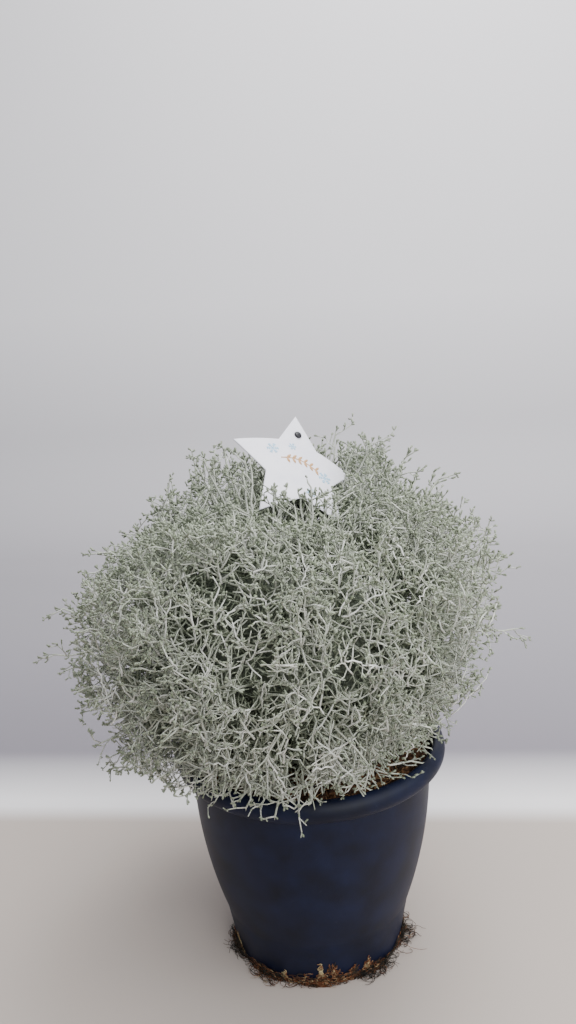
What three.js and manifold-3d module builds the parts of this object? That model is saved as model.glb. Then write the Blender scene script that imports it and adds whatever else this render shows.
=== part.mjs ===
// A potted cushion bush: wiry, felted, grey-white sprays that grow into one ragged cushion,
// in a dark nursery pot filled with fibrous soil. A star-shaped plant label on a stake stands
// in the crown, and roots come out of the drain holes onto whatever the pot stands on.
// Millimetres, +Z up, the origin at the middle of the pot's base, the front towards -Y.
import * as THREE from "three";
import { mergeVertices } from "three/addons/utils/BufferGeometryUtils.js";
import Module from "manifold-3d";

const wasm = await Module();
wasm.setup();

// Driving dimensions
const GAP = 0.4; // left between pieces that touch
const POT = {
  height: 188,
  baseRadius: 74.3,
  waistRadius: 81.6, // where the straight foot ends and the wall begins to swell
  waistZ: 40,
  bodyRadius: 102.3, // under the rim
  belly: 2.1, // how early the wall swells on its way up
  creaseZ: 168, // where the rolled rim's underside meets the body
  rimRadius: 115.3,
  rimZ: 178, // the rim's widest height
  mouthRadius: 105.5,
  wall: 3,
  floor: 3,
  segments: 32,
};
const INNER_HEIGHTS = [184, 177, 168, 134, 99, 64, 40, 9]; // where the pot's inner wall bends
const DRAIN = { count: 10, firstTurn: 18, width: 15, height: 9, depth: 16 };
const SOIL = {
  edgeRadius: 101.5, // the soil ball has shrunk away from the wall at the top
  edgeZ: 179,
  crownZ: 183,
  relief: 2,
  segments: 26,
  rings: 5,
  play: 0.5,
};

// The cushion is a rounded mass about its own middle, bigger to the left than to the right.
const CUSHION = {
  centre: new THREE.Vector3(-13.5, 0, 290),
  halfWidth: 176,
  halfDepth: 166,
  rise: 147,
  drop: 160,
  coreInside: 0.36, // shares of the way from the middle out to the cushion's skin
  coreOutside: 0.74,
  coreClear: 7, // of a core from the middle between two sprays
  lowest: 198, // of the leafy cores
  hanging: 168, // of the twigs outside the pot
};
// Bulges and hollows of the cushion's skin: turn and tilt in degrees, share of the radius, spread
const SWELLS = [
  { turn: 0, tilt: 57, share: 0.15, spread: 16 }, // right shoulder
  { turn: 4, tilt: 44, share: -0.17, spread: 13 }, // right slope
  { turn: 2, tilt: 12, share: 0.09, spread: 13 }, // right bulge
  { turn: 0, tilt: -24, share: -0.12, spread: 20 }, // right side draws in over the rim
  { turn: -44, tilt: -42, share: -0.16, spread: 22 }, // front right, where the soil shows
  { turn: 180, tilt: 42, share: -0.25, spread: 24 }, // left slope
  { turn: 182, tilt: -22, share: 0.07, spread: 26 }, // left skirt
  { turn: -70, tilt: 74, share: -0.42, spread: 26 }, // dip in the crown where the label stands
  { turn: 60, tilt: 30, share: 0.05, spread: 22 },
  { turn: 110, tilt: -10, share: -0.05, spread: 22 },
  { turn: 140, tilt: 50, share: 0.04, spread: 18 },
];
// Rings of sprays: each stem stands in the soil, rises to its elbow and ends in a leafy head.
const RINGS = [
  { name: "crown", count: 4, firstTurn: 30, tilt: 54, rootRadius: 15, elbow: [17, 312] },
  { name: "flank", count: 6, firstTurn: 30, tilt: 17, rootRadius: 37, elbow: [43, 272] },
  { name: "skirt", count: 7, firstTurn: 38.6, tilt: -23, rootRadius: 63, elbow: [68, 206] },
];
const STEM = { radius: 3.2, sides: 6, headShare: 0.6, depthInSoil: 24, shaft: 52 };
// Tufts of close twigs on the cores
const LEAFY = {
  detail: 2,
  from: 0.5, // share of the way out to the cushion's skin where the tufts begin
  steepest: 0.3, // cosine between a face's normal and the way out
  lengths: [14, 27],
  shortest: 6,
  trim: 0.75,
};
const TWIG = {
  sides: 3,
  radius: 2, // at a shoot's root, to its corners
  tipRadius: 1.3,
  sideShare: 0.7, // a side twig's thickness, as a share of its shoot's
  sunk: 4,
  shoots: 61, // spread over the whole cushion
  shortest: 16,
  sideTwigs: 4,
  firstSide: 0.42, // shares of the shoot's length where its side twigs begin and end
  lastSide: 0.92,
  sideLengths: [16, 25],
  sideAngle: 62,
  angleSpread: 9,
  lift: 0.3, // of a side twig's root, off its shoot's middle line
  clear: 5, // from the twigs of the next spray
};
// The furthest tips: turn and tilt in degrees, and distance from the cushion's middle
const LONG_SHOOTS = [
  [180, -5, 206],
  [176, 5, 197],
  [190, -33, 190],
  [-2, -4, 196],
  [3, 12, 198],
  [-6, 43, 178],
  [6, 52, 174],
  [8, 63, 179],
  [30, 73, 172],
  [172, 70, 161],
  [160, 61, 152],
  [184, 27, 163],
  [92, 8, 178],
  [70, 48, 166],
  [118, 38, 168],
  [-88, 10, 176],
  [-62, -8, 178],
  [-118, -6, 177],
];
// Twigs that hang over the rim: turn in degrees, how far out and how low their buds are
const TRAILING = [
  { turn: -105, out: 123, low: 176 },
  { turn: -98, out: 121, low: 185 },
  { turn: -128, out: 126, low: 177 },
  { turn: -116, out: 122, low: 185 },
];

const LABEL = {
  centre: new THREE.Vector3(3.4, 10, 418),
  lean: -42.4, // about X, then across and in its own plane, in degrees
  swing: 28.6,
  roll: 39.7,
  radius: 59,
  inner: 0.53,
  thickness: 0.8,
  curlRadius: 142,
  curlTurn: -70,
  pegUp: 36, // from the star's middle towards its top point
  pegHole: 2.2,
  clear: 7, // of the twigs
  coreClear: 10,
};
const STAKE = {
  width: 4.4,
  thickness: 2.6,
  foot: new THREE.Vector3(2, 4, 150),
  behind: 3.5, // its line's distance behind the label
  pegHead: 3.4,
  headHeight: 1.6,
  hole: 3.15, // radius of its hole in the soil
};

// Root tufts: drain hole number, half-width of the mat in degrees, height, reach of the strands
const TUFTS = [
  { hole: 5, half: 13, height: 17, reach: 26, strands: 5 },
  { hole: 6, half: 11, height: 8, reach: 34, strands: 6 },
  { hole: 7, half: 18, height: 11, reach: 14, strands: 4 },
  { hole: 8, half: 11, height: 13, reach: 26, strands: 7 },
  { hole: 9, half: 13, height: 9, reach: 34, strands: 6 },
  { hole: 1, half: 10, height: 8, reach: 24, strands: 4 },
  { hole: 3, half: 12, height: 9, reach: 22, strands: 4 },
];
const ROOT = { radius: 0.8, matDepth: 6, matSteps: 6, matSides: 5, steps: 2 };

const COLOURS = {
  pot: { color: 0x2b3040, roughness: 0.55, metalness: 0 },
  soil: { color: 0x5a3d26, roughness: 0.95, metalness: 0 },
  bush: { color: 0xa9b5a4, roughness: 0.9, metalness: 0 },
  label: { color: 0xeef0f4, roughness: 0.4, metalness: 0 },
  stake: { color: 0x15151c, roughness: 0.45, metalness: 0 },
  root: { color: 0x3c2c1c, roughness: 0.95, metalness: 0 },
};

// Small helpers
const rad = THREE.MathUtils.degToRad;

// Repeatable draws between two limits, from a seed
function drawsFrom(seed) {
  let state = seed >>> 0;
  return (low = 0, high = 1) => {
    state = (state + 0x6d2b79f5) >>> 0;
    let mixed = Math.imul(state ^ (state >>> 15), state | 1);
    mixed ^= mixed + Math.imul(mixed ^ (mixed >>> 7), mixed | 61);
    return low + ((high - low) * ((mixed ^ (mixed >>> 14)) >>> 0)) / 4294967296;
  };
}

// Unit vector at a turn round +Z and a tilt above the level, in degrees
function towards(turn, tilt) {
  const level = Math.cos(rad(tilt));
  return new THREE.Vector3(
    level * Math.cos(rad(turn)),
    level * Math.sin(rad(turn)),
    Math.sin(rad(tilt)),
  );
}

// Point at a distance from the pot's axis
function around(radius, turn, z) {
  return new THREE.Vector3(radius * Math.cos(rad(turn)), radius * Math.sin(rad(turn)), z);
}

// Solids
function solidFrom(geometry) {
  const bare = geometry.index ? geometry.toNonIndexed() : geometry.clone();
  bare.deleteAttribute("normal");
  bare.deleteAttribute("uv");
  const merged = mergeVertices(bare, 1e-3);
  const corners = merged.index.array;
  const kept = [];
  for (let i = 0; i < corners.length; i += 3) {
    const [a, b, c] = corners.slice(i, i + 3);
    if (a !== b && b !== c && a !== c) kept.push(a, b, c);
  }
  return new wasm.Manifold(
    new wasm.Mesh({
      numProp: 3,
      vertProperties: merged.attributes.position.array,
      triVerts: new Uint32Array(kept),
    }),
  );
}

function joined(solids) {
  return solids.reduce((whole, next) => whole.add(next));
}

// The largest of the bodies that a cut leaves
function biggest(solid) {
  return solid.decompose().reduce((best, next) => (next.volume() > best.volume() ? next : best));
}

function meshOf(solid, name, finish) {
  const made = solid.getMesh();
  const geometry = new THREE.BufferGeometry();
  geometry.setAttribute("position", new THREE.BufferAttribute(made.vertProperties, 3));
  geometry.setIndex(new THREE.BufferAttribute(made.triVerts, 1));
  geometry.computeVertexNormals();
  const mesh = new THREE.Mesh(geometry, new THREE.MeshStandardMaterial(finish));
  mesh.name = name;
  return mesh;
}

// Closed surface over rows of points, each row a closed loop, with flat ends
function loftOf(rows) {
  const sides = rows[0].length;
  const corners = [];
  for (let row = 0; row + 1 < rows.length; row++) {
    for (let side = 0; side < sides; side++) {
      const next = (side + 1) % sides;
      const [a, b] = [rows[row][side], rows[row][next]];
      const [c, d] = [rows[row + 1][side], rows[row + 1][next]];
      corners.push(a, b, d, a, d, c);
    }
  }
  const [first, last] = [rows[0], rows[rows.length - 1]];
  for (let side = 1; side + 1 < sides; side++) {
    corners.push(first[0], first[side + 1], first[side]);
    corners.push(last[0], last[side], last[side + 1]);
  }
  return new THREE.BufferGeometry().setFromPoints(corners);
}

// The first corner of a limb's section, as a direction square to the limb
function firstCorner(along) {
  const corner = new THREE.Vector3(0.31, 0.52, 0.79);
  return corner.addScaledVector(along, -corner.dot(along)).normalize();
}

// A stem, twig or root: rings of few sides along a list of points, with a radius at each
function limb(points, radii, sides) {
  const normal = firstCorner(points[1].clone().sub(points[0]).normalize());
  const rows = points.map((point, i) => {
    const before = points[Math.max(0, i - 1)];
    const after = points[Math.min(points.length - 1, i + 1)];
    const along = after.clone().sub(before).normalize();
    normal.addScaledVector(along, -normal.dot(along)).normalize();
    return Array.from({ length: sides }, (_, side) => {
      const spoke = normal.clone().applyAxisAngle(along, (2 * Math.PI * side) / sides);
      return spoke.multiplyScalar(radii[i]).add(point);
    });
  });
  return solidFrom(loftOf(rows));
}

// Pot
function bodyRadiusAt(z) {
  if (z < POT.waistZ) return THREE.MathUtils.lerp(POT.baseRadius, POT.waistRadius, z / POT.waistZ);
  const left = Math.max(0, 1 - (z - POT.waistZ) / (POT.creaseZ - POT.waistZ));
  return POT.waistRadius + (POT.bodyRadius - POT.waistRadius) * (1 - left ** POT.belly);
}

function outerProfile() {
  const body = [1.5, POT.waistZ, 54, 74, 100, 134, POT.creaseZ];
  const rim = new THREE.SplineCurve([
    new THREE.Vector2(POT.bodyRadius, POT.creaseZ),
    new THREE.Vector2(POT.rimRadius - 6, POT.creaseZ + 2),
    new THREE.Vector2(POT.rimRadius - 1.4, POT.creaseZ + 5.5),
    new THREE.Vector2(POT.rimRadius, POT.rimZ),
    new THREE.Vector2(POT.rimRadius - 1.2, POT.height - 5.1),
    new THREE.Vector2(POT.rimRadius - 4, POT.height - 1.5),
    new THREE.Vector2(POT.rimRadius - 7.2, POT.height),
    new THREE.Vector2(POT.mouthRadius + 0.4, POT.height - 0.8),
  ]).getPoints(9);
  return [
    new THREE.Vector2(POT.baseRadius - 2, 0),
    ...body.map((z) => new THREE.Vector2(bodyRadiusAt(z), z)),
    ...rim.slice(1),
  ];
}

function innerRadiusAt(z) {
  const body = bodyRadiusAt(Math.min(z, POT.creaseZ)) - POT.wall;
  const flare = THREE.MathUtils.smoothstep(z, POT.creaseZ - 2, POT.height - 3);
  return THREE.MathUtils.lerp(body, POT.mouthRadius, flare);
}

function turned(profile, segments) {
  return new THREE.LatheGeometry(profile, segments).rotateX(Math.PI / 2);
}

function drainTurn(hole) {
  return DRAIN.firstTurn + (360 / DRAIN.count) * hole;
}

// A block at a drain hole, from inside the wall to outside it, grown by a margin on every side
function drainBlock(hole, margin) {
  const block = new THREE.BoxGeometry(
    DRAIN.depth + 2 * margin,
    DRAIN.width + 2 * margin,
    DRAIN.height + 2 * margin,
  );
  block.translate(POT.baseRadius, 0, 0);
  block.rotateZ(rad(drainTurn(hole)));
  return block;
}

function makePot() {
  const inside = INNER_HEIGHTS.map((z) => new THREE.Vector2(innerRadiusAt(z), z));
  const floorEdge = new THREE.Vector2(innerRadiusAt(POT.floor) - 2, POT.floor);
  const profile = [
    new THREE.Vector2(0, 0),
    ...outerProfile(),
    ...inside,
    floorEdge,
    new THREE.Vector2(0, POT.floor),
  ];
  let pot = solidFrom(turned(profile, POT.segments));
  for (let hole = 0; hole < DRAIN.count; hole++) {
    pot = pot.subtract(solidFrom(drainBlock(hole, 0)));
  }
  return pot;
}

// Soil
function soilRelief(x, y) {
  const lumps = Math.sin(0.13 * x + 1.2) * Math.sin(0.11 * y - 0.5);
  const crumbs = Math.sin(0.41 * x - 0.29 * y) * Math.sin(0.37 * y + 0.2 * x + 0.7);
  return SOIL.relief * (lumps + 0.6 * crumbs);
}

function soilTopAt(radius) {
  const share = radius / SOIL.edgeRadius;
  return THREE.MathUtils.lerp(SOIL.crownZ, SOIL.edgeZ, share * share);
}

function makeSoil(holes) {
  const room = GAP + SOIL.play;
  const bends = INNER_HEIGHTS.filter((z) => z <= POT.creaseZ).reverse();
  const side = bends.map((z) => new THREE.Vector2(innerRadiusAt(z) - room, z));
  const top = [];
  for (let ring = 0; ring <= SOIL.rings; ring++) {
    const radius = SOIL.edgeRadius * (1 - ring / SOIL.rings);
    top.push(new THREE.Vector2(radius, soilTopAt(radius)));
  }
  const bottomEdge = new THREE.Vector2(innerRadiusAt(POT.floor) - 10, POT.floor);
  const profile = [new THREE.Vector2(0, POT.floor), bottomEdge, ...side, ...top];
  const shape = turned(profile, SOIL.segments);
  const place = shape.getAttribute("position");
  for (let i = 0; i < place.count; i++) {
    const x = place.getX(i);
    const y = place.getY(i);
    const fromEdge = SOIL.edgeRadius - Math.hypot(x, y);
    if (place.getZ(i) >= SOIL.edgeZ - 0.1 && fromEdge > 1) {
      place.setZ(i, place.getZ(i) + soilRelief(x, y));
    }
  }
  const soil = holes.reduce((left, hole) => left.subtract(hole), solidFrom(shape));
  return biggest(soil);
}

// Cushion
function skinRadius(direction) {
  const height = direction.z > 0 ? CUSHION.rise : CUSHION.drop;
  const round = Math.hypot(
    direction.x / CUSHION.halfWidth,
    direction.y / CUSHION.halfDepth,
    direction.z / height,
  );
  const swell = SWELLS.reduce((sum, { turn, tilt, share, spread }) => {
    const off = direction.angleTo(towards(turn, tilt)) / rad(spread);
    return sum + share * Math.exp(-off * off);
  }, 1);
  return swell / round;
}

// How far out a point lies, as a share of the way to the cushion's skin
function shareOut(point) {
  const out = point.clone().sub(CUSHION.centre);
  const distance = out.length();
  return distance < 1 ? 0 : distance / skinRadius(out.normalize());
}

// Label frame: its own across, up and towards-the-back directions
const labelTurn = new THREE.Quaternion().setFromEuler(
  new THREE.Euler(rad(LABEL.lean), rad(LABEL.swing), rad(LABEL.roll), "ZXY"),
);

function onLabel(point) {
  return point.clone().sub(LABEL.centre).applyQuaternion(labelTurn.clone().invert());
}

// Height of the curled sheet behind its flat plane, at a place on it
function labelCurl(across, up) {
  const offAxis = -across * Math.sin(rad(LABEL.curlTurn)) + up * Math.cos(rad(LABEL.curlTurn));
  return LABEL.curlRadius - Math.sqrt(Math.max(0, LABEL.curlRadius ** 2 - offAxis ** 2));
}

function pegPlace() {
  const place = new THREE.Vector3(0, labelCurl(0, LABEL.pegUp), LABEL.pegUp);
  return place.applyQuaternion(labelTurn).add(LABEL.centre);
}

function pegAxis() {
  return new THREE.Vector3(0, 1, 0).applyQuaternion(labelTurn);
}

const stakeTop = pegPlace().addScaledVector(pegAxis(), STAKE.behind);
const stakeLine = new THREE.Line3(STAKE.foot, stakeTop);

function clearOfLabel(point, clear) {
  const local = onLabel(point);
  const reach = Math.hypot(local.x, local.z);
  const behind = Math.abs(local.y - labelCurl(local.x, local.z));
  if (reach < LABEL.radius + 3 && behind < clear) return false;
  const nearest = stakeLine.closestPointToPoint(point, true, new THREE.Vector3());
  return nearest.distanceTo(point) > clear;
}

function clearOfPot(point) {
  const radius = Math.hypot(point.x, point.y);
  if (radius > POT.rimRadius + 3.5) return point.z > CUSHION.hanging;
  if (radius > POT.mouthRadius - 5) return point.z > POT.height + 3;
  return point.z > soilTopAt(radius) + 2 * SOIL.relief + 3;
}

// Stems: each spray's line from under the soil to the middle of its leafy head
function stemLines() {
  return RINGS.flatMap((ring) =>
    Array.from({ length: ring.count }, (_, i) => {
      const turn = ring.firstTurn + (360 / ring.count) * i;
      const direction = towards(turn, ring.tilt);
      const head = CUSHION.centre.clone();
      head.addScaledVector(direction, STEM.headShare * skinRadius(direction));
      const [elbowRadius, elbowZ] = ring.elbow;
      const elbow = around(elbowRadius, turn, elbowZ);
      const root = around(ring.rootRadius, turn, soilTopAt(ring.rootRadius) - STEM.depthInSoil);
      return { name: `spray_${ring.name}_${i + 1}`, ring, turn, root, elbow, head };
    }),
  );
}

const SPRAYS = stemLines();

function distanceToStem(point, { root, elbow, head }) {
  const nearest = new THREE.Vector3();
  const lower = new THREE.Line3(root, elbow).closestPointToPoint(point, true, nearest).distanceTo(point);
  const upper = new THREE.Line3(elbow, head).closestPointToPoint(point, true, nearest).distanceTo(point);
  return Math.min(lower, upper);
}

// Whether a point is in the space that a spray fills: nearer to its own stem than to any other
function ownSpace(point, spray, margin) {
  const own = distanceToStem(point, spray) + margin;
  return SPRAYS.every((other) => other === spray || distanceToStem(point, other) > own);
}

function freeForCore(point, spray) {
  const share = shareOut(point);
  const inside = share > CUSHION.coreInside || point.distanceTo(spray.head) < 8;
  const fromAxis = Math.hypot(point.x, point.y);
  const shaft = spray.ring.name !== "skirt" || fromAxis > STEM.shaft;
  return (
    inside &&
    shaft &&
    share < CUSHION.coreOutside &&
    point.z > CUSHION.lowest &&
    ownSpace(point, spray, CUSHION.coreClear) &&
    clearOfLabel(point, LABEL.coreClear)
  );
}

function freeForTwig(point, spray) {
  return (
    clearOfPot(point) &&
    clearOfLabel(point, LABEL.clear) &&
    ownSpace(point, spray, TWIG.clear)
  );
}

// How far a spray's leafy core reaches from the middle of its head
function coreReach(direction, spray) {
  let reach = 6;
  while (freeForCore(spray.head.clone().addScaledVector(direction, reach + 2), spray)) reach += 2;
  return reach;
}

// The tip of the tuft that stands on a face of a core, or nothing where it has no room. It points
// straight away from the head's middle, through the face, so that tufts never cross each other.
function tuftTip(face, spray, draw) {
  const normal = new THREE.Triangle(...face).getNormal(new THREE.Vector3());
  const shares = face.map(() => draw(0.5, 1.5));
  const whole = shares[0] + shares[1] + shares[2];
  const foot = new THREE.Vector3();
  face.forEach((corner, i) => foot.addScaledVector(corner, shares[i] / whole));
  const outwards = foot.clone().sub(spray.head).normalize();
  if (shareOut(foot) < LEAFY.from || normal.dot(outwards) < LEAFY.steepest) return null;
  for (let length = draw(...LEAFY.lengths); length > LEAFY.shortest; length *= LEAFY.trim) {
    const tip = foot.clone().addScaledVector(outwards, length);
    if (pathIsFree(foot, tip, spray)) return tip;
  }
  return null;
}

// A spray's leafy core: a ball drawn out to fill its space, with a pointed tuft on each outer face
function makeCore(spray, draw) {
  const ball = new THREE.IcosahedronGeometry(1, LEAFY.detail);
  ball.deleteAttribute("normal");
  ball.deleteAttribute("uv");
  const even = mergeVertices(ball, 1e-3);
  const place = even.getAttribute("position");
  const skin = Array.from({ length: place.count }, (_, i) => {
    const direction = new THREE.Vector3().fromBufferAttribute(place, i).normalize();
    return spray.head.clone().addScaledVector(direction, coreReach(direction, spray) * draw(0.93, 1));
  });
  const corners = [];
  for (let i = 0; i < even.index.count; i += 3) {
    const face = [0, 1, 2].map((corner) => skin[even.index.getX(i + corner)]);
    const tip = tuftTip(face, spray, draw);
    const [a, b, c] = face;
    if (tip) corners.push(a, b, tip, b, c, tip, c, a, tip);
    else corners.push(a, b, c);
  }
  return solidFrom(new THREE.BufferGeometry().setFromPoints(corners));
}

// Evenly spread directions, by the golden angle
function spreadDirections(count) {
  const golden = 180 * (3 - Math.sqrt(5));
  return Array.from({ length: count }, (_, i) => {
    const height = 1 - (2 * i + 1) / count;
    return towards(golden * i, THREE.MathUtils.radToDeg(Math.asin(height)));
  });
}

function pathIsFree(from, to, spray) {
  return [0, 0.2, 0.4, 0.6, 0.8, 1].every((share) =>
    freeForTwig(from.clone().lerp(to, share), spray),
  );
}

// A shoot from the core to its tip. Its side twigs leave its flat sides, one after the other.
function makeShoot(from, tip, spray, draw) {
  if (!pathIsFree(from, tip, spray)) return [];
  const along = tip.clone().sub(from).normalize();
  const { radius, tipRadius, sides, sideTwigs } = TWIG;
  const pieces = [limb([from, tip], [radius, tipRadius], sides)];
  for (let i = 0; i < sideTwigs; i++) {
    const share = THREE.MathUtils.lerp(TWIG.firstSide, TWIG.lastSide, i / (sideTwigs - 1));
    const side = firstCorner(along).applyAxisAngle(along, (Math.PI * (1 + 4 * i)) / sides);
    const angle = rad(TWIG.sideAngle + draw(-TWIG.angleSpread, TWIG.angleSpread));
    const heading = along.clone().multiplyScalar(Math.cos(angle)).addScaledVector(side, Math.sin(angle));
    const start = from.clone().lerp(tip, share).addScaledVector(heading, TWIG.lift);
    const end = start.clone().addScaledVector(heading, draw(...TWIG.sideLengths) * (1.2 - 0.4 * share));
    if (pathIsFree(start, end, spray)) {
      const thick = THREE.MathUtils.lerp(radius, tipRadius, share);
      pieces.push(limb([start, end], [TWIG.sideShare * thick, 0], sides));
    }
  }
  return pieces;
}

function shootTo(tip, spray, draw) {
  const direction = tip.clone().sub(spray.head);
  const length = direction.length();
  direction.normalize();
  const start = coreReach(direction, spray) * 0.9 - TWIG.sunk;
  if (length - start < TWIG.shortest + TWIG.sunk) return [];
  const from = spray.head.clone().addScaledVector(direction, start);
  return makeShoot(from, tip, spray, draw);
}

function nearestSpray(point) {
  return SPRAYS.reduce((best, next) =>
    distanceToStem(point, next) < distanceToStem(point, best) ? next : best,
  );
}

// A twig that leaves the core low down, crosses the rim and hangs outside it
function makeTrailing({ turn, out, low }, spray) {
  const over = around(POT.mouthRadius + 3, turn, POT.height + 4);
  const rim = around(out - 3, turn + 1, POT.height - 2);
  const tip = around(out, turn + 2, low);
  const inside = over.clone().lerp(spray.head, 0.75);
  const { radius, sides } = TWIG;
  const main = limb([inside, over, rim, tip], [radius, radius * 0.8, radius * 0.7, radius * 0.6], sides);
  const fork = rim.clone().lerp(tip, 0.35);
  const forkTip = around(out + 2, turn + 6, low + 6);
  return [main, limb([fork, forkTip], [radius * 0.6, radius * 0.4], sides)];
}

function makeStem(spray, extra) {
  const { root, elbow, head } = spray;
  const radius = STEM.radius + extra;
  return limb([root, elbow, head], [radius, radius, radius * 0.9], STEM.sides);
}

function makeSprays() {
  const draw = drawsFrom(7);
  const pieces = new Map(SPRAYS.map((spray) => [spray, [makeStem(spray, 0), makeCore(spray, draw)]]));
  for (const [turn, tilt, reach] of LONG_SHOOTS) {
    const tip = CUSHION.centre.clone().addScaledVector(towards(turn, tilt), reach);
    const spray = nearestSpray(tip);
    pieces.get(spray).push(...shootTo(tip, spray, draw));
  }
  for (const direction of spreadDirections(TWIG.shoots)) {
    const reach = skinRadius(direction) * draw(0.93, 1.03);
    const tip = CUSHION.centre.clone().addScaledVector(direction, reach);
    const spray = nearestSpray(tip);
    pieces.get(spray).push(...shootTo(tip, spray, draw));
  }
  for (const twig of TRAILING) {
    const spray = nearestSpray(around(POT.mouthRadius, twig.turn, POT.height + 30));
    pieces.get(spray).push(...makeTrailing(twig, spray));
  }
  return SPRAYS.map((spray) => meshOf(biggest(joined(pieces.get(spray))), spray.name, COLOURS.bush));
}

// Label: a star cut from a curled sheet, held on its stake by a peg through one point
function starOutline() {
  const shape = new THREE.Shape();
  for (let corner = 0; corner < 10; corner++) {
    const radius = corner % 2 ? LABEL.radius * LABEL.inner : LABEL.radius;
    const turn = rad(90 + 36 * corner);
    const [across, up] = [radius * Math.cos(turn), radius * Math.sin(turn)];
    if (corner === 0) shape.moveTo(across, up);
    else shape.lineTo(across, up);
  }
  shape.closePath();
  const hole = new THREE.Path();
  hole.absarc(0, LABEL.pegUp, LABEL.pegHole, 0, 2 * Math.PI, true);
  shape.holes.push(hole);
  return shape;
}

function makeLabel() {
  const deep = 60;
  const star = new THREE.ExtrudeGeometry(starOutline(), {
    depth: deep,
    bevelEnabled: false,
    curveSegments: 8,
  });
  star.translate(0, 0, -deep / 2).rotateX(Math.PI / 2);
  const { curlRadius, thickness, curlTurn } = LABEL;
  const halfArc = rad(30);
  const band = new THREE.Shape();
  band.absarc(0, 0, curlRadius, Math.PI / 2 + halfArc, Math.PI / 2 - halfArc, true);
  band.absarc(0, 0, curlRadius - thickness, Math.PI / 2 - halfArc, Math.PI / 2 + halfArc, false);
  const long = 180;
  const sheet = new THREE.ExtrudeGeometry(band, {
    depth: long,
    bevelEnabled: false,
    curveSegments: 14,
  });
  sheet.translate(0, -curlRadius, -long / 2).rotateX(Math.PI);
  sheet.rotateY(Math.PI / 2 - rad(curlTurn));
  const label = biggest(solidFrom(sheet).intersect(solidFrom(star)));
  return meshOf(label, "label_star", COLOURS.label);
}

function makeStake() {
  const blade = new THREE.BoxGeometry(STAKE.width, stakeLine.distance(), STAKE.thickness);
  const upright = stakeTop.clone().sub(STAKE.foot).normalize();
  blade.applyQuaternion(new THREE.Quaternion().setFromUnitVectors(THREE.Object3D.DEFAULT_UP, upright));
  const middle = stakeLine.getCenter(new THREE.Vector3());
  blade.translate(middle.x, middle.y, middle.z);
  const front = pegPlace().addScaledVector(pegAxis(), -LABEL.thickness - GAP);
  const crown = front.clone().addScaledVector(pegAxis(), -STAKE.headHeight);
  const pegEnd = front.clone().lerp(crown, 0.5);
  const pegRadius = LABEL.pegHole - GAP;
  const peg = limb([stakeTop, pegEnd], [pegRadius, pegRadius], 8);
  const head = limb([front, crown], [STAKE.pegHead, STAKE.pegHead * 0.7], 10);
  return joined([solidFrom(blade), peg, head]);
}

// Roots
function matOutline(along, round, tuft, draw) {
  const edge = Math.sqrt(Math.max(0, 1 - along * along));
  const height = 2.5 + (tuft.height - 2.5) * edge;
  const up = (1 - Math.cos(round)) / 2;
  const out = Math.max(0, Math.sin(round));
  const z = GAP + height * up;
  const wall = bodyRadiusAt(Math.max(2, z)) + 1;
  return [wall + ROOT.matDepth * (0.4 + 0.6 * edge) * out * draw(0.75, 1.15), z];
}

// A mat of matted roots against the foot of the wall: a bent bar of rounded section
function makeMat(tuft, middleTurn, draw) {
  const rows = [];
  for (let step = 0; step <= ROOT.matSteps; step++) {
    const along = (2 * step) / ROOT.matSteps - 1;
    const turn = middleTurn + tuft.half * along;
    const row = [];
    for (let side = 0; side < ROOT.matSides; side++) {
      const round = Math.PI * (1 - side / (ROOT.matSides - 1));
      const [radius, z] = matOutline(along * 0.97, round, tuft, draw);
      row.push(around(radius, turn, z));
    }
    rows.push(row);
  }
  return solidFrom(loftOf(rows));
}

// A root strand that curls over the floor and bends back down to it
function makeStrand(tuft, middleTurn, number, draw) {
  const spread = tuft.strands > 1 ? (2 * number) / (tuft.strands - 1) - 1 : 0;
  const turn = middleTurn + tuft.half * 0.8 * spread;
  const reach = tuft.reach * draw(0.55, 1);
  const points = [];
  for (let step = 0; step <= ROOT.steps; step++) {
    const share = step / ROOT.steps;
    const radius = POT.baseRadius + 3 + reach * share;
    const sway = draw(-3, 3) * share + (14 - 0.8 * tuft.half) * spread * share;
    const z = ROOT.radius + GAP + 5 * Math.sin(Math.PI * Math.min(1, share + 0.25)) * (1 - share);
    points.push(around(radius, turn + sway, z));
  }
  const radii = points.map((_, step) => ROOT.radius * (1 - (0.35 * step) / ROOT.steps));
  return limb(points, radii, 3);
}

function makeTuft(tuft, number) {
  const draw = drawsFrom(100 + tuft.hole);
  const turn = drainTurn(tuft.hole);
  const neck = new THREE.BoxGeometry(
    DRAIN.depth - 2 * GAP,
    DRAIN.width - 2 * GAP,
    DRAIN.height / 2 - 2 * GAP,
  );
  neck.translate(POT.baseRadius, 0, DRAIN.height / 4).rotateZ(rad(turn));
  const strands = Array.from({ length: tuft.strands }, (_, i) => makeStrand(tuft, turn, i, draw));
  const tuftSolid = joined([solidFrom(neck), makeMat(tuft, turn, draw), ...strands]);
  return meshOf(biggest(tuftSolid), `root_tuft_${number + 1}`, COLOURS.root);
}

// Assembly
function makePlant() {
  const plant = new THREE.Group();
  const stemHoles = SPRAYS.map((spray) => makeStem(spray, GAP));
  const stake = makeStake();
  const stakeFoot = STAKE.foot.clone().setZ(STAKE.foot.z - 2);
  const stakeHole = limb([stakeFoot, stakeTop], [STAKE.hole, STAKE.hole], 8);
  const soil = makeSoil([...stemHoles, stakeHole]);
  const label = makeLabel();
  label.quaternion.copy(labelTurn);
  label.position.copy(LABEL.centre);
  plant.add(meshOf(makePot(), "pot", COLOURS.pot));
  plant.add(meshOf(soil, "soil", COLOURS.soil));
  plant.add(...makeSprays());
  plant.add(label);
  plant.add(meshOf(stake, "label_stake", COLOURS.stake));
  plant.add(...TUFTS.map(makeTuft));
  return plant;
}

export default makePlant();
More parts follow.
